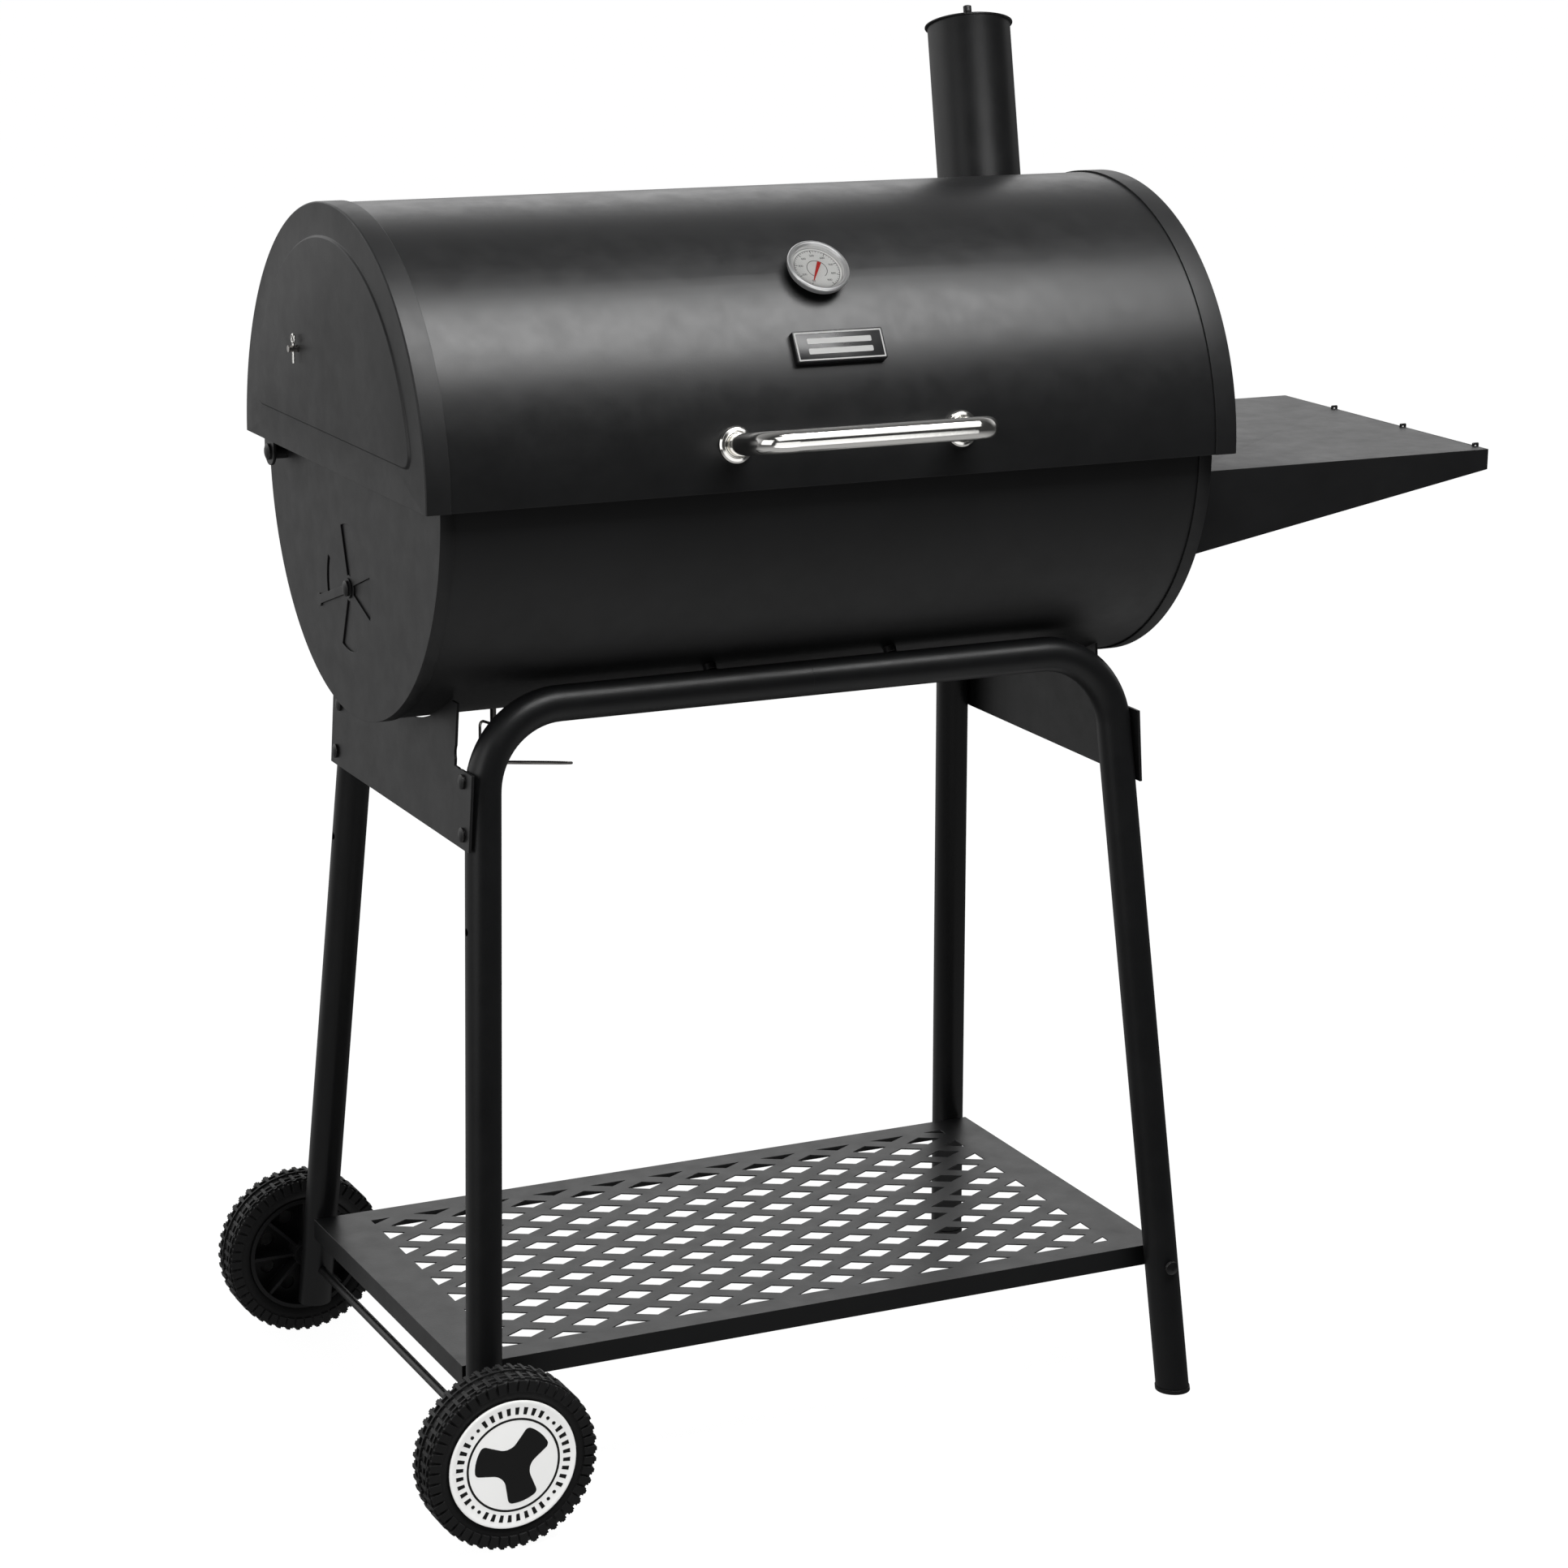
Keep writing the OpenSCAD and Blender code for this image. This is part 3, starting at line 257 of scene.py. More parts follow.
def piece(name, verts, faces, body, material, replaces=(), sharp=32.0, slot=None):
    """Makes a clean mesh object in the row frame that rides on a CAD body."""
    mesh = bpy.data.meshes.new(name)
    mesh.from_pydata([tuple(v) for v in verts], [], faces)
    bm = bmesh.new()
    bm.from_mesh(mesh)
    bmesh.ops.remove_doubles(bm, verts=bm.verts, dist=1e-6)
    bmesh.ops.dissolve_degenerate(bm, edges=bm.edges, dist=1e-7)
    bmesh.ops.recalc_face_normals(bm, faces=bm.faces)
    for face in bm.faces:
        face.smooth = True
    for edge in bm.edges:
        edge.smooth = edge.calc_face_angle(0.0) < math.radians(sharp)
    bm.to_mesh(mesh)
    bm.free()
    obj = bpy.data.objects.new(name, mesh)
    bpy.context.scene.collection.objects.link(obj)
    mesh.materials.append(MATERIALS[material])
    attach(obj, body)
    if replaces:
        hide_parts(*replaces)
    return obj


def ring_faces(rings, count, closed=True):
    """Quads between neighbouring rings of count vertices each."""
    faces = []
    spans = rings if closed else rings - 1
    for r in range(spans):
        for k in range(count):
            a, b = r * count + k, r * count + (k + 1) % count
            c, d = ((r + 1) % rings) * count + (k + 1) % count, ((r + 1) % rings) * count + k
            faces.append((a, b, c, d))
    return faces


def lathe(profile, steps, place):
    """Turns a closed outline of (radius, height) points around Z."""
    verts = []
    for radius, height in profile:
        for k in range(steps):
            a = 2 * math.pi * k / steps
            verts.append(place @ Vector((radius * math.cos(a), radius * math.sin(a), height)))
    return verts, ring_faces(len(profile), steps)


def prism(outline, low, high, place):
    """A flat outline in X and Y given thickness along Z."""
    n = len(outline)
    verts = [place @ Vector((x, y, z)) for z in (low, high) for x, y in outline]
    faces = [tuple(range(n - 1, -1, -1)), tuple(range(n, 2 * n))]
    faces += [(k, (k + 1) % n, n + (k + 1) % n, n + k) for k in range(n)]
    return verts, faces


def join(parts):
    """Several (verts, faces) as one."""
    verts, faces = [], []
    for v, f in parts:
        faces += [tuple(i + len(verts) for i in face) for face in f]
        verts += v
    return verts, faces


def arc(cx, cy, radius, start, end, steps):
    """Points of an arc, in degrees."""
    points = []
    for k in range(steps + 1):
        a = math.radians(start + (end - start) * k / steps)
        points.append((cx + radius * math.cos(a), cy + radius * math.sin(a)))
    return points


def rounded_box(width, height, corner, steps=5):
    w, h = width / 2 - corner, height / 2 - corner
    return (arc(w, h, corner, 0, 90, steps) + arc(-w, h, corner, 90, 180, steps)
            + arc(-w, -h, corner, 180, 270, steps) + arc(w, -h, corner, 270, 360, steps))


def frame_bars(outer, inner, low, high, place):
    """A closed band between two outlines with the same number of points."""
    n = len(outer)
    verts = [place @ Vector((x, y, z)) for z, o in ((low, outer), (high, outer), (high, inner), (low, inner))
             for x, y in o]
    return verts, ring_faces(4, n)


def soften(node, width):
    """Rounds the edges of a CAD node with modifiers, which leave its mesh as it is."""
    obj = NODES[node]
    weld = obj.modifiers.new("weld", "WELD")
    weld.merge_threshold = 1e-6
    flat = obj.modifiers.new("flat", "DECIMATE")
    flat.decimate_type = "DISSOLVE"
    flat.angle_limit = math.radians(0.4)
    bevel = obj.modifiers.new("bevel", "BEVEL")
    bevel.width = width
    bevel.segments = 2
    bevel.limit_method = "ANGLE"
    bevel.angle_limit = math.radians(40)
    bevel.harden_normals = True


# ---------------------------------------------------------------- lid end caps


def d_outline_distance(centre_z, angle, inset):
    """Distance from (0, centre_z) to the outline of the raised panel, drawn smaller by inset."""
    radius, foot, corner = 203 * MM - inset, 32 * MM + inset, 12 * MM
    inner_y = math.sqrt((radius - corner) ** 2 - (foot + corner) ** 2)
    low, high = 0.0, radius * 1.5
    dy, dz = math.cos(angle), math.sin(angle)
    for _ in range(40):
        t = (low + high) / 2
        y, z = abs(t * dy), centre_z + t * dz
        inside = math.hypot(y, z) < radius and z > foot
        if inside and z < foot + corner and y > inner_y:
            inside = math.hypot(y - inner_y, z - foot - corner) < corner
        if inside:
            low = t
        else:
            high = t
    return low


def lid_cap(side):
    """Pressed end cap: flat face with a raised panel, rounded rim, flange band and inner face."""
    name = "lid_end_left" if side < 0 else "lid_end_right"
    sheet, edge_r, band = 1.5 * MM, 1.8 * MM, 22 * MM
    centre_z = 95 * MM
    corner = math.atan2(-centre_z, LID_R - sheet)
    arc_steps, foot_steps = 200, 60
    angles = [corner + (math.pi - 2 * corner) * k / arc_steps for k in range(arc_steps + 1)]
    feet = [(LID_R - sheet) * (1 - 2 * k / foot_steps) for k in range(1, foot_steps)]
    angles += [math.atan2(-centre_z, -y) for y in feet]
    count = len(angles)

    def reach(angle, radius):
        """Distance from the panel's centre to a circle about the lid's axis."""
        dz = math.sin(angle)
        return -centre_z * dz + math.sqrt((centre_z * dz) ** 2 + radius ** 2 - centre_z ** 2)

    rings = []

    def ring(kind, out, radius=0.0, inset=0.0):
        points = []
        for k, a in enumerate(angles):
            if kind == "panel":
                t = d_outline_distance(centre_z, a, inset)
                y, z = t * math.cos(a), centre_z + t * math.sin(a)
                points.append((y, z, out))
            elif k <= arc_steps:
                # the arc's ends keep to the lid's lower edge
                around = math.pi * k / arc_steps
                points.append((radius * math.cos(around), radius * math.sin(around), out))
            else:
                y = feet[k - arc_steps - 1]
                points.append((-y, 0.0, max(out, -sheet)))
        rings.append(points)

    slope_steps = 6
    for k in range(slope_steps + 1):
        share = k / slope_steps
        rise = PANEL_RISE * (1 + math.cos(math.pi * share)) / 2
        ring("panel", rise, inset=1.2 * MM - 2.4 * MM * share)
    rim_steps = 6
    for k in range(rim_steps + 1):
        a = math.radians(90 * k / rim_steps)
        ring("rim", -edge_r * (1 - math.cos(a)), LID_R - edge_r * (1 - math.sin(a)))
    ring("rim", -band, LID_R)
    ring("rim", -band, LID_R - sheet)
    ring("rim", -edge_r, LID_R - sheet)
    ring("rim", -sheet, LID_R - edge_r)
    ring("panel", -sheet, inset=0.0)
    verts = []
    for points in rings:
        for y, z, out in points:
            verts.append(Vector((MID_X + side * (LID_FACE + out), AXIS_Y + y, LID_Z + z)))
    faces = ring_faces(len(rings), count, closed=False)
    faces.append(tuple(range(count)))
    last = (len(rings) - 1) * count
    faces.append(tuple(range(last + count - 1, last - 1, -1)))
    return piece(name + "_cap", verts, faces, "lid", "end_paint", replaces=(name,), sharp=28.0)


def drill(obj, place, radius, length):
    """Cuts a round hole along Z of place and applies the cut."""
    verts, faces = prism(arc(0, 0, radius, 0, 345, 23), -length / 2, length / 2, place)
    mesh = bpy.data.meshes.new("drill")
    mesh.from_pydata([tuple(v) for v in verts], [], faces)
    cutter = bpy.data.objects.new("drill", mesh)
    bpy.context.scene.collection.objects.link(cutter)
    cut = obj.modifiers.new("hole", "BOOLEAN")
    cut.operation = "DIFFERENCE"
    cut.solver = "EXACT"
    cut.object = cutter
    bpy.context.view_layer.update()
    made = obj.evaluated_get(bpy.context.evaluated_depsgraph_get())
    cut_mesh = bpy.data.meshes.new_from_object(made)
    obj.modifiers.clear()
    obj.data = cut_mesh
    bpy.data.objects.remove(cutter)


ROD_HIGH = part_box("warming_rack")[1]
ROD_R = 3 * MM
ROD_HOLE_R = 3.4 * MM
for side in (-1, 1):
    hole = Matrix.Translation((MID_X + side * LID_FACE, ROD_HIGH.y - ROD_R, ROD_HIGH.z - ROD_R))
    drill(lid_cap(side), hole @ Matrix.Rotation(math.radians(90), 4, "Y"), ROD_HOLE_R, 12 * MM)

# ---------------------------------------------------------------- CAD nodes with rounded edges

for node, width in (("firebox_end_left", 0.6), ("firebox_end_right", 0.6),
                    ("hinge_ears", 0.7), ("damper_lever", 0.4),
                    ("side_bracket_left", 0.8), ("side_bracket_right", 0.8), ("side_shelf", 1.2),
                    ("chimney_cap", 0.6), ("wheel_hub_front", 0.5), ("wheel_hub_rear", 0.5),
                    ("charcoal_tray", 0.4), ("cooking_grates", 1.0), ("lower_shelf", 0.35)):
    soften(node, width * MM)

# ---------------------------------------------------------------- thermometer

THERMO_ANGLE = 47.7
THERMO_X = middle("thermometer_case").x
THERMO_R = 28.5 * MM
BACK = LID_R + 2.5 * MM


def thermometer():
    r = THERMO_R
    place = on_lid(THERMO_ANGLE, BACK, THERMO_X)
    profile = [(0, 0), (r - 4 * MM, 0), (r - 2.2 * MM, 0.8 * MM), (r - 1.5 * MM, 2 * MM),
               (r - 1.4 * MM, 4.6 * MM), (r - 0.4 * MM, 5 * MM), (r, 5.8 * MM)]
    profile += [(r - 2.1 * MM + x, 7.2 * MM + z) for x, z in arc(0, 0, 2.1 * MM, 0, 150, 10)]
    profile += [(r - 4.9 * MM, 7.4 * MM), (r - 5 * MM, 2 * MM), (0, 2 * MM)]
    stem = [(0, -70 * MM), (3.6 * MM, -70 * MM), (4 * MM, -69.5 * MM), (4 * MM, -3 * MM),
            (9 * MM, -2.4 * MM), (9 * MM, 0.2 * MM), (0, 0.2 * MM)]
    parts = join([lathe(profile, 96, place), lathe(stem, 32, place)])
    piece("thermometer_bezel", *parts, "lid", "gauge_metal", replaces=("thermometer_case",), slot="chrome")

    face_r = r - 5.2 * MM
    top = 3.6 * MM
    dial = [(0, 2.1 * MM), (face_r, 2.1 * MM), (face_r, top - 0.2 * MM), (face_r - 0.3 * MM, top), (0, top)]
    ring = [(face_r - 2.6 * MM, top - 0.1 * MM), (face_r - 2.2 * MM, top - 0.1 * MM),
            (face_r - 2.2 * MM, top + 0.06 * MM), (face_r - 2.6 * MM, top + 0.06 * MM)]
    piece("dial_plate", *lathe(dial, 96, place), "lid", "dial_white", replaces=("thermometer_dial",))
    marks = [lathe(ring, 96, place)]
    first, sweep, ticks = 149 + 90, -298, 40
    for k in range(ticks + 1):
        long = k % 5 == 0
        turn = place @ Matrix.Rotation(math.radians(first + sweep * k / ticks), 4, "Z")
        inner = face_r - (5.4 if long else 4.0) * MM
        half = (0.28 if long else 0.14) * MM
        bar = [(inner, -half), (face_r - 2.4 * MM, -half), (face_r - 2.4 * MM, half), (inner, half)]
        marks.append(prism(bar, top - 0.1 * MM, top + 0.06 * MM, turn))
    inner_arc = arc(0, 0, 9.6 * MM, first, first + sweep, 60)
    inner_arc += arc(0, 0, 9.1 * MM, first + sweep, first, 60)
    marks.append(prism(inner_arc, top - 0.1 * MM, top + 0.06 * MM, place))
    piece("dial_marks", *join(marks), "lid", "print_black", slot="dial_white")
    for k in range(9):
        a = math.radians(first + sweep * k / 8)
        spot = Vector((math.cos(a) * (face_r - 8.2 * MM), math.sin(a) * (face_r - 8.2 * MM), top))
        numeral(f"dial_number_{k}", str((k + 1) * 100 - 50 * (k == 0)), 3.1 * MM, place, spot)


def numeral(name, text, size, place, spot):
    curve = bpy.data.curves.new(name, "FONT")
    curve.body = text
    curve.size = size
    curve.align_x = "CENTER"
    curve.align_y = "CENTER"
    curve.extrude = 0.05 * MM
    temp = bpy.data.objects.new(name + "_curve", curve)
    bpy.context.scene.collection.objects.link(temp)
    bpy.context.view_layer.update()
    mesh = bpy.data.meshes.new_from_object(temp.evaluated_get(bpy.context.evaluated_depsgraph_get()))
    bpy.data.objects.remove(temp)
    mesh.transform(place @ Matrix.Translation(spot))
    mesh.name = name
    obj = bpy.data.objects.new(name, mesh)
    bpy.context.scene.collection.objects.link(obj)
    mesh.materials.clear()
    mesh.materials.append(MATERIALS["print_black"])
    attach(obj, "lid")


thermometer()

# ---------------------------------------------------------------- name plate


def name_plate():
    """A dark plate with a light border and plain bars in place of lettering."""
    lo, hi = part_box("name_plate")
    width, height, angle = hi.x - lo.x, 29 * MM, 29.5
    place = on_lid(angle, LID_R, (lo.x + hi.x) / 2)
    low, top = -2.2 * MM, 4.4 * MM
    steps = ((0.0, low), (0.0, top - 0.9 * MM), (0.25, top - 0.35 * MM), (0.9, top))
    rings = [[(x, y, z) for x, y in rounded_box(width - 2 * i * MM, height - 2 * i * MM, (1.6 - i) * MM)]
             for i, z in steps]
    count = len(rings[0])
    verts = [place @ Vector(p) for ring in rings for p in ring]
    faces = ring_faces(len(rings), count, closed=False)
    faces += [tuple(range(count)), tuple(range(len(verts) - 1, len(verts) - 1 - count, -1))]
    piece("plate_body", verts, faces, "lid", "plate_plastic", replaces=("name_plate",))
    border = frame_bars(rounded_box(width - 3 * MM, height - 3 * MM, 0.9 * MM),
                        rounded_box(width - 5.6 * MM, height - 5.6 * MM, 0.5 * MM),
                        top - 0.3 * MM, top + 0.25 * MM, place)
    bars = [border]
    for y in (4.6 * MM, -4.6 * MM):
        spot = place @ Matrix.Translation((0, y, 0))
        bar = rounded_box(62 * MM, 5.2 * MM, 1.2 * MM)
        bars.append(prism(bar, top - 0.3 * MM, top + 0.3 * MM, spot))
    piece("plate_border", *join(bars), "lid", "print_white", slot="plate_plastic")


name_plate()

# ---------------------------------------------------------------- wheels


def tyre_mesh(place, half, outer, rim):
    """Tyre with ribs round the tread, cross bars and shoulder lugs; heights run along the axle."""
    floor = outer - 3 * MM
    w = half
    side = [(rim, w - 5 * MM), (rim + 3 * MM, w - 2.6 * MM), (rim + 7 * MM, w - 1.7 * MM),
            (outer - 9 * MM, w - 1.5 * MM), (floor - 1.2 * MM, w - 2.6 * MM), (floor, w - 4 * MM)]
    rib_top = outer - 1.1 * MM
    tread = []
    for a, b in ((w - 5.2 * MM, w - 7.6 * MM), (w - 12.2 * MM, w - 14.6 * MM)):
        tread += [(floor, a), (rib_top, a - 0.4 * MM), (rib_top, b + 0.4 * MM), (floor, b)]
    outline = side + tread + [(r, -z) for r, z in reversed(tread)] + [(r, -z) for r, z in reversed(side)]
    parts = [lathe(outline, 144, place)]
    lugs = 48
    for k in range(lugs):
        turn = place @ Matrix.Rotation(2 * math.pi * k / lugs, 4, "Z")
        for s in (-1, 1):
            for spans in tread_blocks(outer, floor, w, s):
                parts.append(block(turn, *spans))
    return join(parts)


def tread_blocks(outer, floor, w, s):
    """(radii, widths, half angles) of the cross bars and the shoulder lug on one side."""
    bar = ((floor - 0.5 * MM, outer), (s * 2.6 * MM, s * (w - 4.4 * MM)), (1.5, 1.1))
    lug = ((outer - 12.5 * MM, outer - 2.4 * MM), (s * (w - 3 * MM), s * w), (2.9, 2.6))
    cap = ((floor - 2 * MM, outer - 0.4 * MM), (s * (w - 5 * MM), s * (w - 1.4 * MM)), (1.6, 1.2))
    return bar, lug, cap


def block(turn, radii, widths, halves):
    """A wedge of a ring, narrower at its outer face."""
    verts = []
    for r, half in ((radii[0], halves[0]), (radii[1], halves[1])):
        for a in (-half, half):
            for z in widths:
                angle = math.radians(a)
                verts.append(turn @ Vector((r * math.cos(angle), r * math.sin(angle), z)))
    faces = [(0, 1, 3, 2), (4, 6, 7, 5), (0, 4, 5, 1), (2, 3, 7, 6), (0, 2, 6, 4), (1, 5, 7, 3)]
    return verts, faces


def three_arms():
    """Outline of a three-armed shape, in metres; the lengths below are in millimetres."""
    reach, corner, tip, hollow, hollow_at = 36.0, 4.5, 17.0, 13.5, 29.5
    cx, cy = ((reach - corner) * f(math.radians(tip)) for f in (math.cos, math.sin))
    nx, ny = (hollow_at * f(math.radians(60)) for f in (math.cos, math.sin))
    local = arc(cx, -cy, corner, -96, -tip, 10) + arc(0, 0, reach, 1 - tip, tip - 1, 12)
    local += arc(cx, cy, corner, tip, 96, 10) + arc(nx, ny, hollow, 276, 204, 20)
    points = []
    for arm in range(3):
        turn = math.radians(45 + 120 * arm)
        for x, y in local:
            points.append((MM * (x * math.cos(turn) - y * math.sin(turn)),
                           MM * (x * math.sin(turn) + y * math.cos(turn))))
    return points


def hub_cap_parts(place, low, face, radius):
    """The cap, and the printed shapes that lie on it."""
    edge = 2.2 * MM
    skirt = [(radius - 6.5 * MM, face - 1.4 * MM), (radius - 6.5 * MM, low),
             (radius - 8 * MM, low), (radius - 8 * MM, face - 1.4 * MM)]
    cap = [(0, face - 1.6 * MM), (radius - 1 * MM, face - 1.9 * MM)]
    cap += [(radius - edge / 2 + x, face - 1.3 * MM + z) for x, z in arc(0, 0, 1.1 * MM, -60, 90, 8)]
    cap += [(radius - 3.4 * MM, face - 0.25 * MM), (radius - 4 * MM, face - 0.5 * MM),
            (44 * MM, face - 0.4 * MM), (30 * MM, face - 0.15 * MM), (0, face - 0.05 * MM)]
    shell = join([lathe(cap, 128, place), lathe(skirt, 96, place)])
    top, base = face + 0.05 * MM, face - 0.9 * MM
    ring_in, ring_out = 41.6 * MM, 43.6 * MM
    ring = [(ring_in, base), (ring_out, base), (ring_out, top - 0.1 * MM), (ring_in, top - 0.1 * MM)]
    marks = [lathe(ring, 128, place)]
    marks.append(prism(three_arms(), base, top, place))
    count = 40
    for k in range(count):
        turn = place @ Matrix.Rotation(2 * math.pi * (k + 0.5) / count, 4, "Z")
        if k % 10 in (4, 5):
            shape = arc(50 * MM, 0, 1.7 * MM, 0, 324, 9)
        else:
            shape = [(46.8 * MM, -1.5 * MM), (53.4 * MM, -1.9 * MM),
                     (53.4 * MM, 1.9 * MM), (46.8 * MM, 1.5 * MM)]
        marks.append(prism(shape, base, top - 0.1 * MM, turn))
    return shell, join(marks)


def wheel(end, side):
    lo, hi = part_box("tyre_" + end)
    centre = (lo + hi) / 2
    outer, half = (hi.z - lo.z) / 2, (hi.y - lo.y) / 2
    place = Matrix.Translation(centre) @ Matrix.Rotation(math.radians(side * -90), 4, "X")
    body = "wheel_" + end
    rim = 57.1 * MM
    piece("tyre_tread_" + end, *tyre_mesh(place, half, outer, rim), body, "tyre",
          replaces=("tyre_" + end,), sharp=38.0)
    face = max(abs(v.y - centre.y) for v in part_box("hub_cap_" + end))
    cap_low, cap_r = half - 6.9 * MM, 59.4 * MM
    shell, marks = hub_cap_parts(place, cap_low, face, cap_r)
    piece("cap_shell_" + end, *shell, body, "cap_plastic", replaces=("hub_cap_" + end,))
    piece("cap_print_" + end, *marks, body, "print_black", slot="cap_plastic")


wheel("front", -1)
wheel("rear", 1)

# ---------------------------------------------------------------- floor, light and camera


def floor_material():
    """Pale floor: seen by the camera, and left out of reflections in the paint."""
    mat, tree, shader = new_material("floor")
    coords = add(tree, "ShaderNodeTexCoord").outputs["Object"]
    tone = mix_colour(tree, noise(tree, coords, 0.5, 3.0), (0.8, 0.8, 0.8), (0.84, 0.84, 0.84))
    tree.links.new(tone, shader.inputs["Base Color"])
    shader.inputs["Roughness"].default_value = 0.9
    shader.inputs["Specular IOR Level"].default_value = 0.0
    glow = add(tree, "ShaderNodeEmission", Color=(1, 1, 1, 1), Strength=1.16)
    pale = add(tree, "ShaderNodeMixShader", Fac=0.16)
    tree.links.new(glow.outputs[0], pale.inputs[1])
    tree.links.new(shader.outputs[0], pale.inputs[2])
    path = add(tree, "ShaderNodeLightPath")
    clear = add(tree, "ShaderNodeBsdfTransparent")
    seen = add(tree, "ShaderNodeMixShader")
    tree.links.new(path.outputs["Is Camera Ray"], seen.inputs["Fac"])
    tree.links.new(clear.outputs[0], seen.inputs[1])
    tree.links.new(pale.outputs[0], seen.inputs[2])
    tree.links.new(seen.outputs[0], tree.nodes["Material Output"].inputs["Surface"])
    return mat


def floor():
    size = 60.0
    mesh = bpy.data.meshes.new("floor")
    corners = [(-size, -size, 0), (size, -size, 0), (size, size, 0), (-size, size, 0)]
    mesh.from_pydata(corners, [], [(0, 1, 2, 3)])
    obj = bpy.data.objects.new("floor", mesh)
    bpy.context.scene.collection.objects.link(obj)
    obj.location.z = -0.4 * MM
    mesh.materials.append(floor_material())


def studio_world():
    """White for the camera; for the paint, a low bright band behind, and dim in front and above."""
    world = bpy.data.worlds.new("studio")
    bpy.context.scene.world = world
    world.use_nodes = True
    tree = world.node_tree
    direction = add(tree, "ShaderNodeTexCoord").outputs["Generated"]
    split = add(tree, "ShaderNodeSeparateXYZ")
    tree.links.new(direction, split.inputs[0])
    behind = remap(tree, split.outputs["Y"], -0.1, 0.8, 0.0, 1.0)
    low_wall = multiply(tree, remap(tree, split.outputs["Z"], -0.6, -0.2, 0.0, 0.32),
                        remap(tree, split.outputs["X"], 0.35, -0.25, 0.2, 1.0))
    high_wall = remap(tree, split.outputs["Z"], 0.04, 0.24, 0.0, 0.95)
    wall = add(tree, "ShaderNodeMath", operation="ADD")
    tree.links.new(low_wall, wall.inputs[0])
    tree.links.new(high_wall, wall.inputs[1])
    below_top = remap(tree, split.outputs["Z"], 0.3, 0.62, 1.0, 0.16)
    band = multiply(tree, behind, multiply(tree, wall.outputs[0], below_top))
    bounce = multiply(tree, remap(tree, split.outputs["Z"], -0.2, -0.75, 0.0, 1.0),
                      remap(tree, split.outputs["Y"], 0.6, 0.2, 0.0, 1.0))
    level = remap(tree, band, 0.0, 1.0, 0.05, 1.9)
    lifted = add(tree, "ShaderNodeMath", operation="MAXIMUM")
    tree.links.new(level, lifted.inputs[0])
    tree.links.new(remap(tree, bounce, 0.0, 1.0, 0.0, 0.52), lifted.inputs[1])
    soft = add(tree, "ShaderNodeBackground")
    tree.links.new(lifted.outputs[0], soft.inputs["Strength"])
    white = add(tree, "ShaderNodeBackground", Strength=1.0)
    path = add(tree, "ShaderNodeLightPath")
    choose = add(tree, "ShaderNodeMixShader")
    tree.links.new(path.outputs["Is Camera Ray"], choose.inputs["Fac"])
    tree.links.new(soft.outputs[0], choose.inputs[1])
    tree.links.new(white.outputs[0], choose.inputs[2])
    tree.links.new(choose.outputs[0], tree.nodes["World Output"].inputs["Surface"])


def softbox(name, place, target, width, height, power):
    light = bpy.data.lights.new(name, "AREA")
    light.shape = "RECTANGLE"
    light.size = width
    light.size_y = height
    light.energy = power
    obj = bpy.data.objects.new(name, light)
    obj.location = place
    obj.rotation_mode = "QUATERNION"
    obj.rotation_quaternion = (Vector(target) - Vector(place)).to_track_quat("-Z", "Y")
    bpy.context.scene.collection.objects.link(obj)
    obj.visible_camera = False
    return obj


def link(light, names, state):
    """Lets a light reach only some objects (INCLUDE), or all but some (EXCLUDE)."""
    group = bpy.data.collections.new(light.name + "_" + state.lower())
    for obj in bpy.context.scene.objects:
        if obj.type == "MESH" and obj.name.startswith(names):
            group.objects.link(obj)
    for entry in group.collection_objects:
        entry.light_linking.link_state = state
    light.light_linking.receiver_collection = group


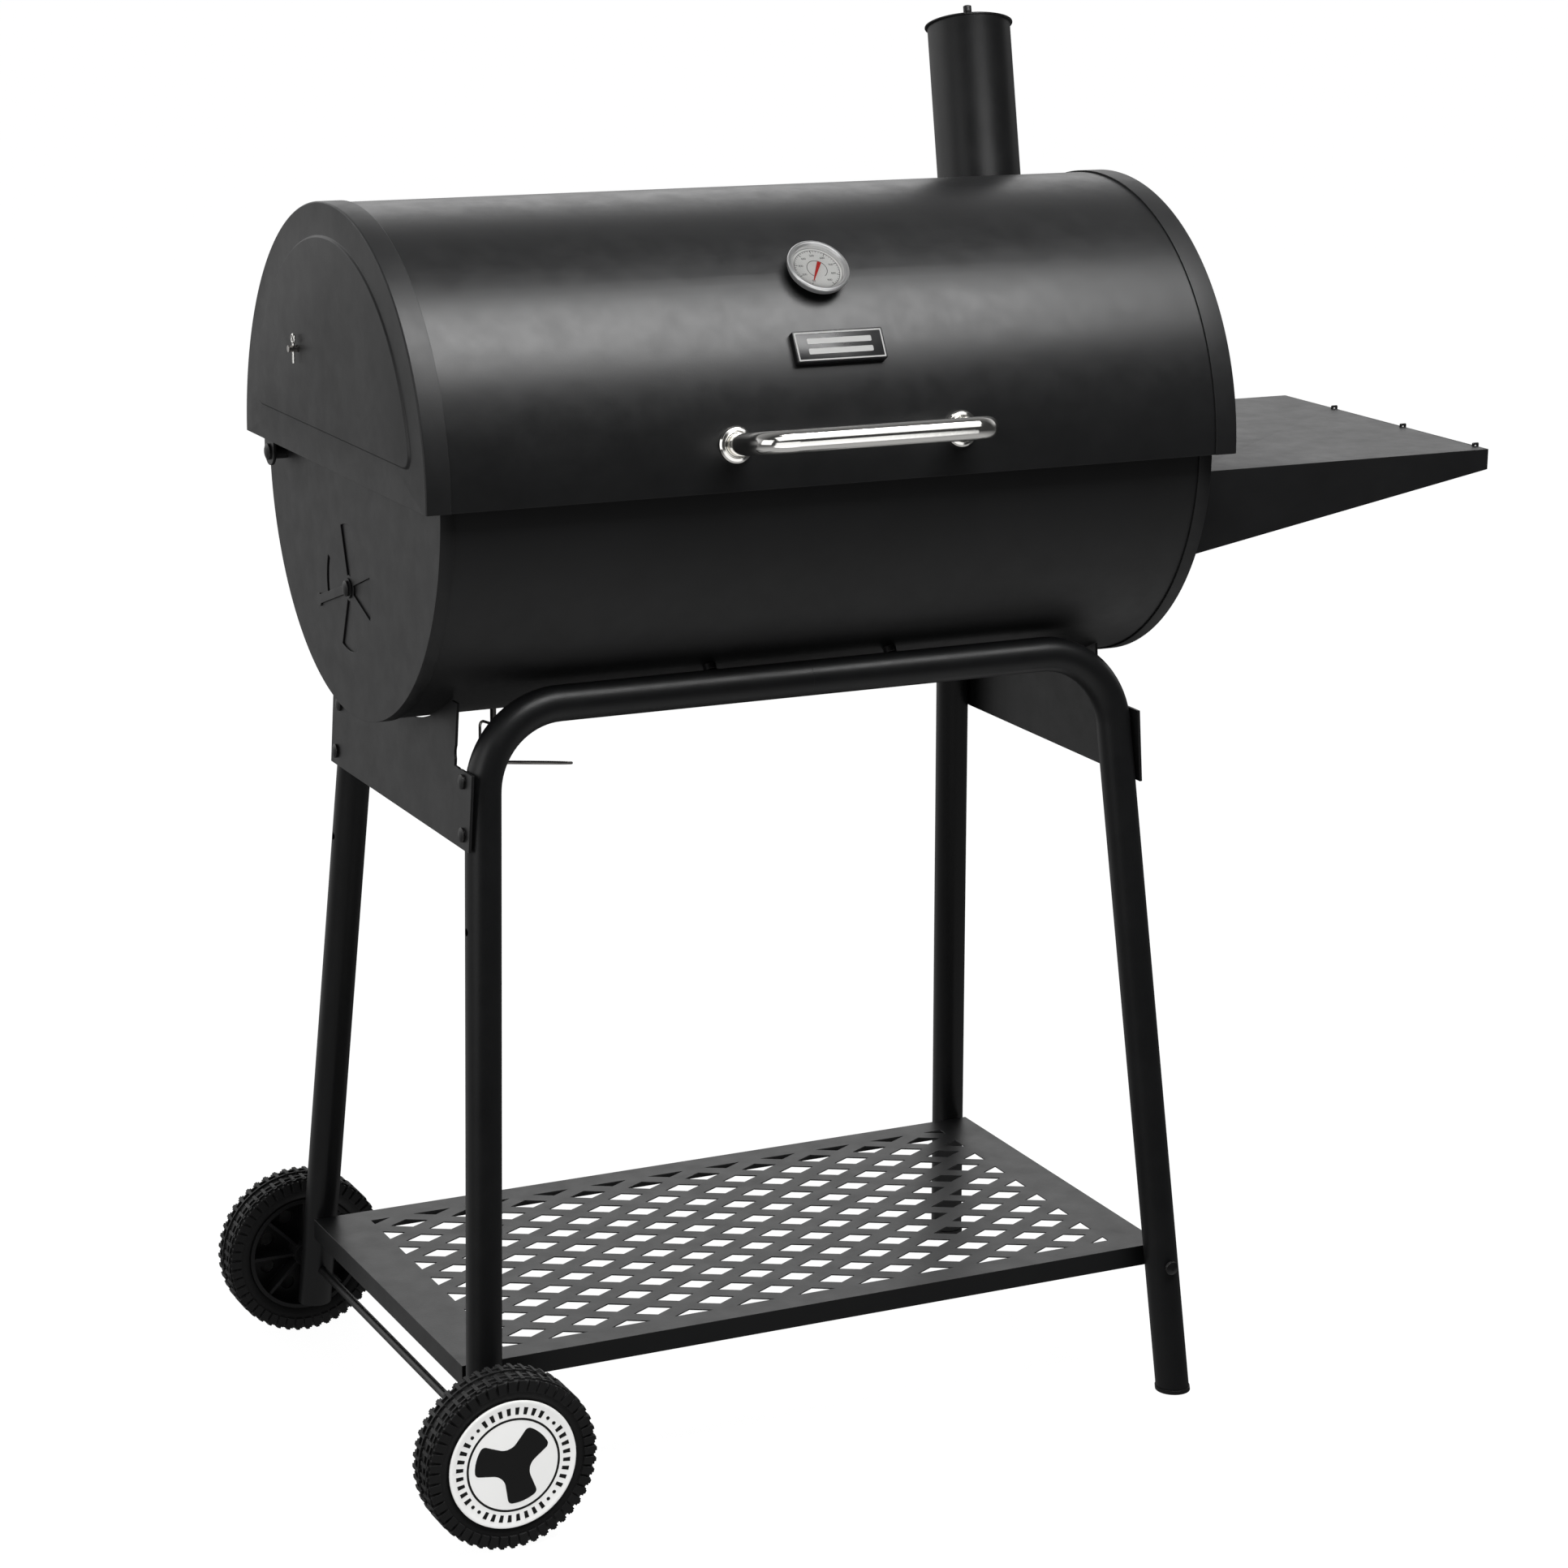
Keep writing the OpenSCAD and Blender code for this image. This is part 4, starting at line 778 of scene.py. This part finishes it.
def lights():
    barrel = Vector((MID_X, AXIS_Y, LID_Z))
    no_key = ("thermometer_bezel", "dial_", "thermometer_lens", "thermometer_needle", "plate_border",
              "chimney_")
    bright = ("thermometer_bezel", "lid_handle", "handle_bezels", "cotter_pins")
    white = ("cap_shell_front", "dial_", "plate_border", "thermometer_needle")
    key = softbox("key_strip", barrel + Vector((0.55, -1.06, 1.97)),
                  barrel + Vector((0.55, 0, 0)), 2.0, 1.2, 66)
    link(key, no_key, "EXCLUDE")
    softbox("left_fill", barrel + Vector((-2.6, -1.0, 0.5)), barrel, 1.6, 2.0, 14)
    softbox("back_rim", barrel + Vector((0.3, 2.4, 1.6)), barrel, 2.4, 1.0, 4)
    for name, spot, names, power in (("front_white", (-1.2, -3.0, 0.2), white, 88),
                                     ("back_white", (0.6, 3.0, -0.2), ("cap_shell_rear",), 80)):
        light = softbox(name, barrel + Vector(spot), barrel + Vector((-0.2, 0, -0.4)), 2.0, 2.0, power)
        light.visible_glossy = False
        link(light, names, "INCLUDE")
    for name, spot, height, power in (("metal_front", (-0.3, -2.3, -0.8), 1.9, 22),
                                      ("metal_top", (0.0, -1.7, 1.7), 1.7, 24)):
        link(softbox(name, barrel + Vector(spot), barrel, 3.4, height, power), bright, "INCLUDE")
    stack = softbox("stack_front", barrel + Vector((0.2, -2.6, 0.7)),
                    barrel + Vector((0.3, 0, 0.3)), 1.6, 1.6, 60)
    link(stack, ("chimney_",), "INCLUDE")


def camera():
    """The viewpoint, placed from the lid's middle, with its turn, tilt and roll in degrees."""
    turn, tilt, roll = (math.radians(v) for v in (26.086, 14.692, 0.595))
    left, ahead, height = 1.5093, 3.1889, 1.5108
    forward = Vector((math.sin(turn) * math.cos(tilt), math.cos(turn) * math.cos(tilt), -math.sin(tilt)))
    right = forward.cross(Vector((0, 0, 1))).normalized()
    up = right.cross(forward)
    right, up = (right * math.cos(roll) + up * math.sin(roll), up * math.cos(roll) - right * math.sin(roll))
    data = bpy.data.cameras.new("camera")
    data.lens = 89.27
    data.sensor_width = 36.0
    obj = bpy.data.objects.new("camera", data)
    rotation = Matrix((right, up, -forward)).transposed().to_4x4()
    obj.matrix_world = Matrix.Translation((MID_X - left, AXIS_Y - ahead, height)) @ rotation
    bpy.context.scene.collection.objects.link(obj)
    bpy.context.scene.camera = obj


floor()
studio_world()
lights()
camera()
bpy.context.scene.view_settings.view_transform = "Standard"
bpy.context.scene.view_settings.look = "None"
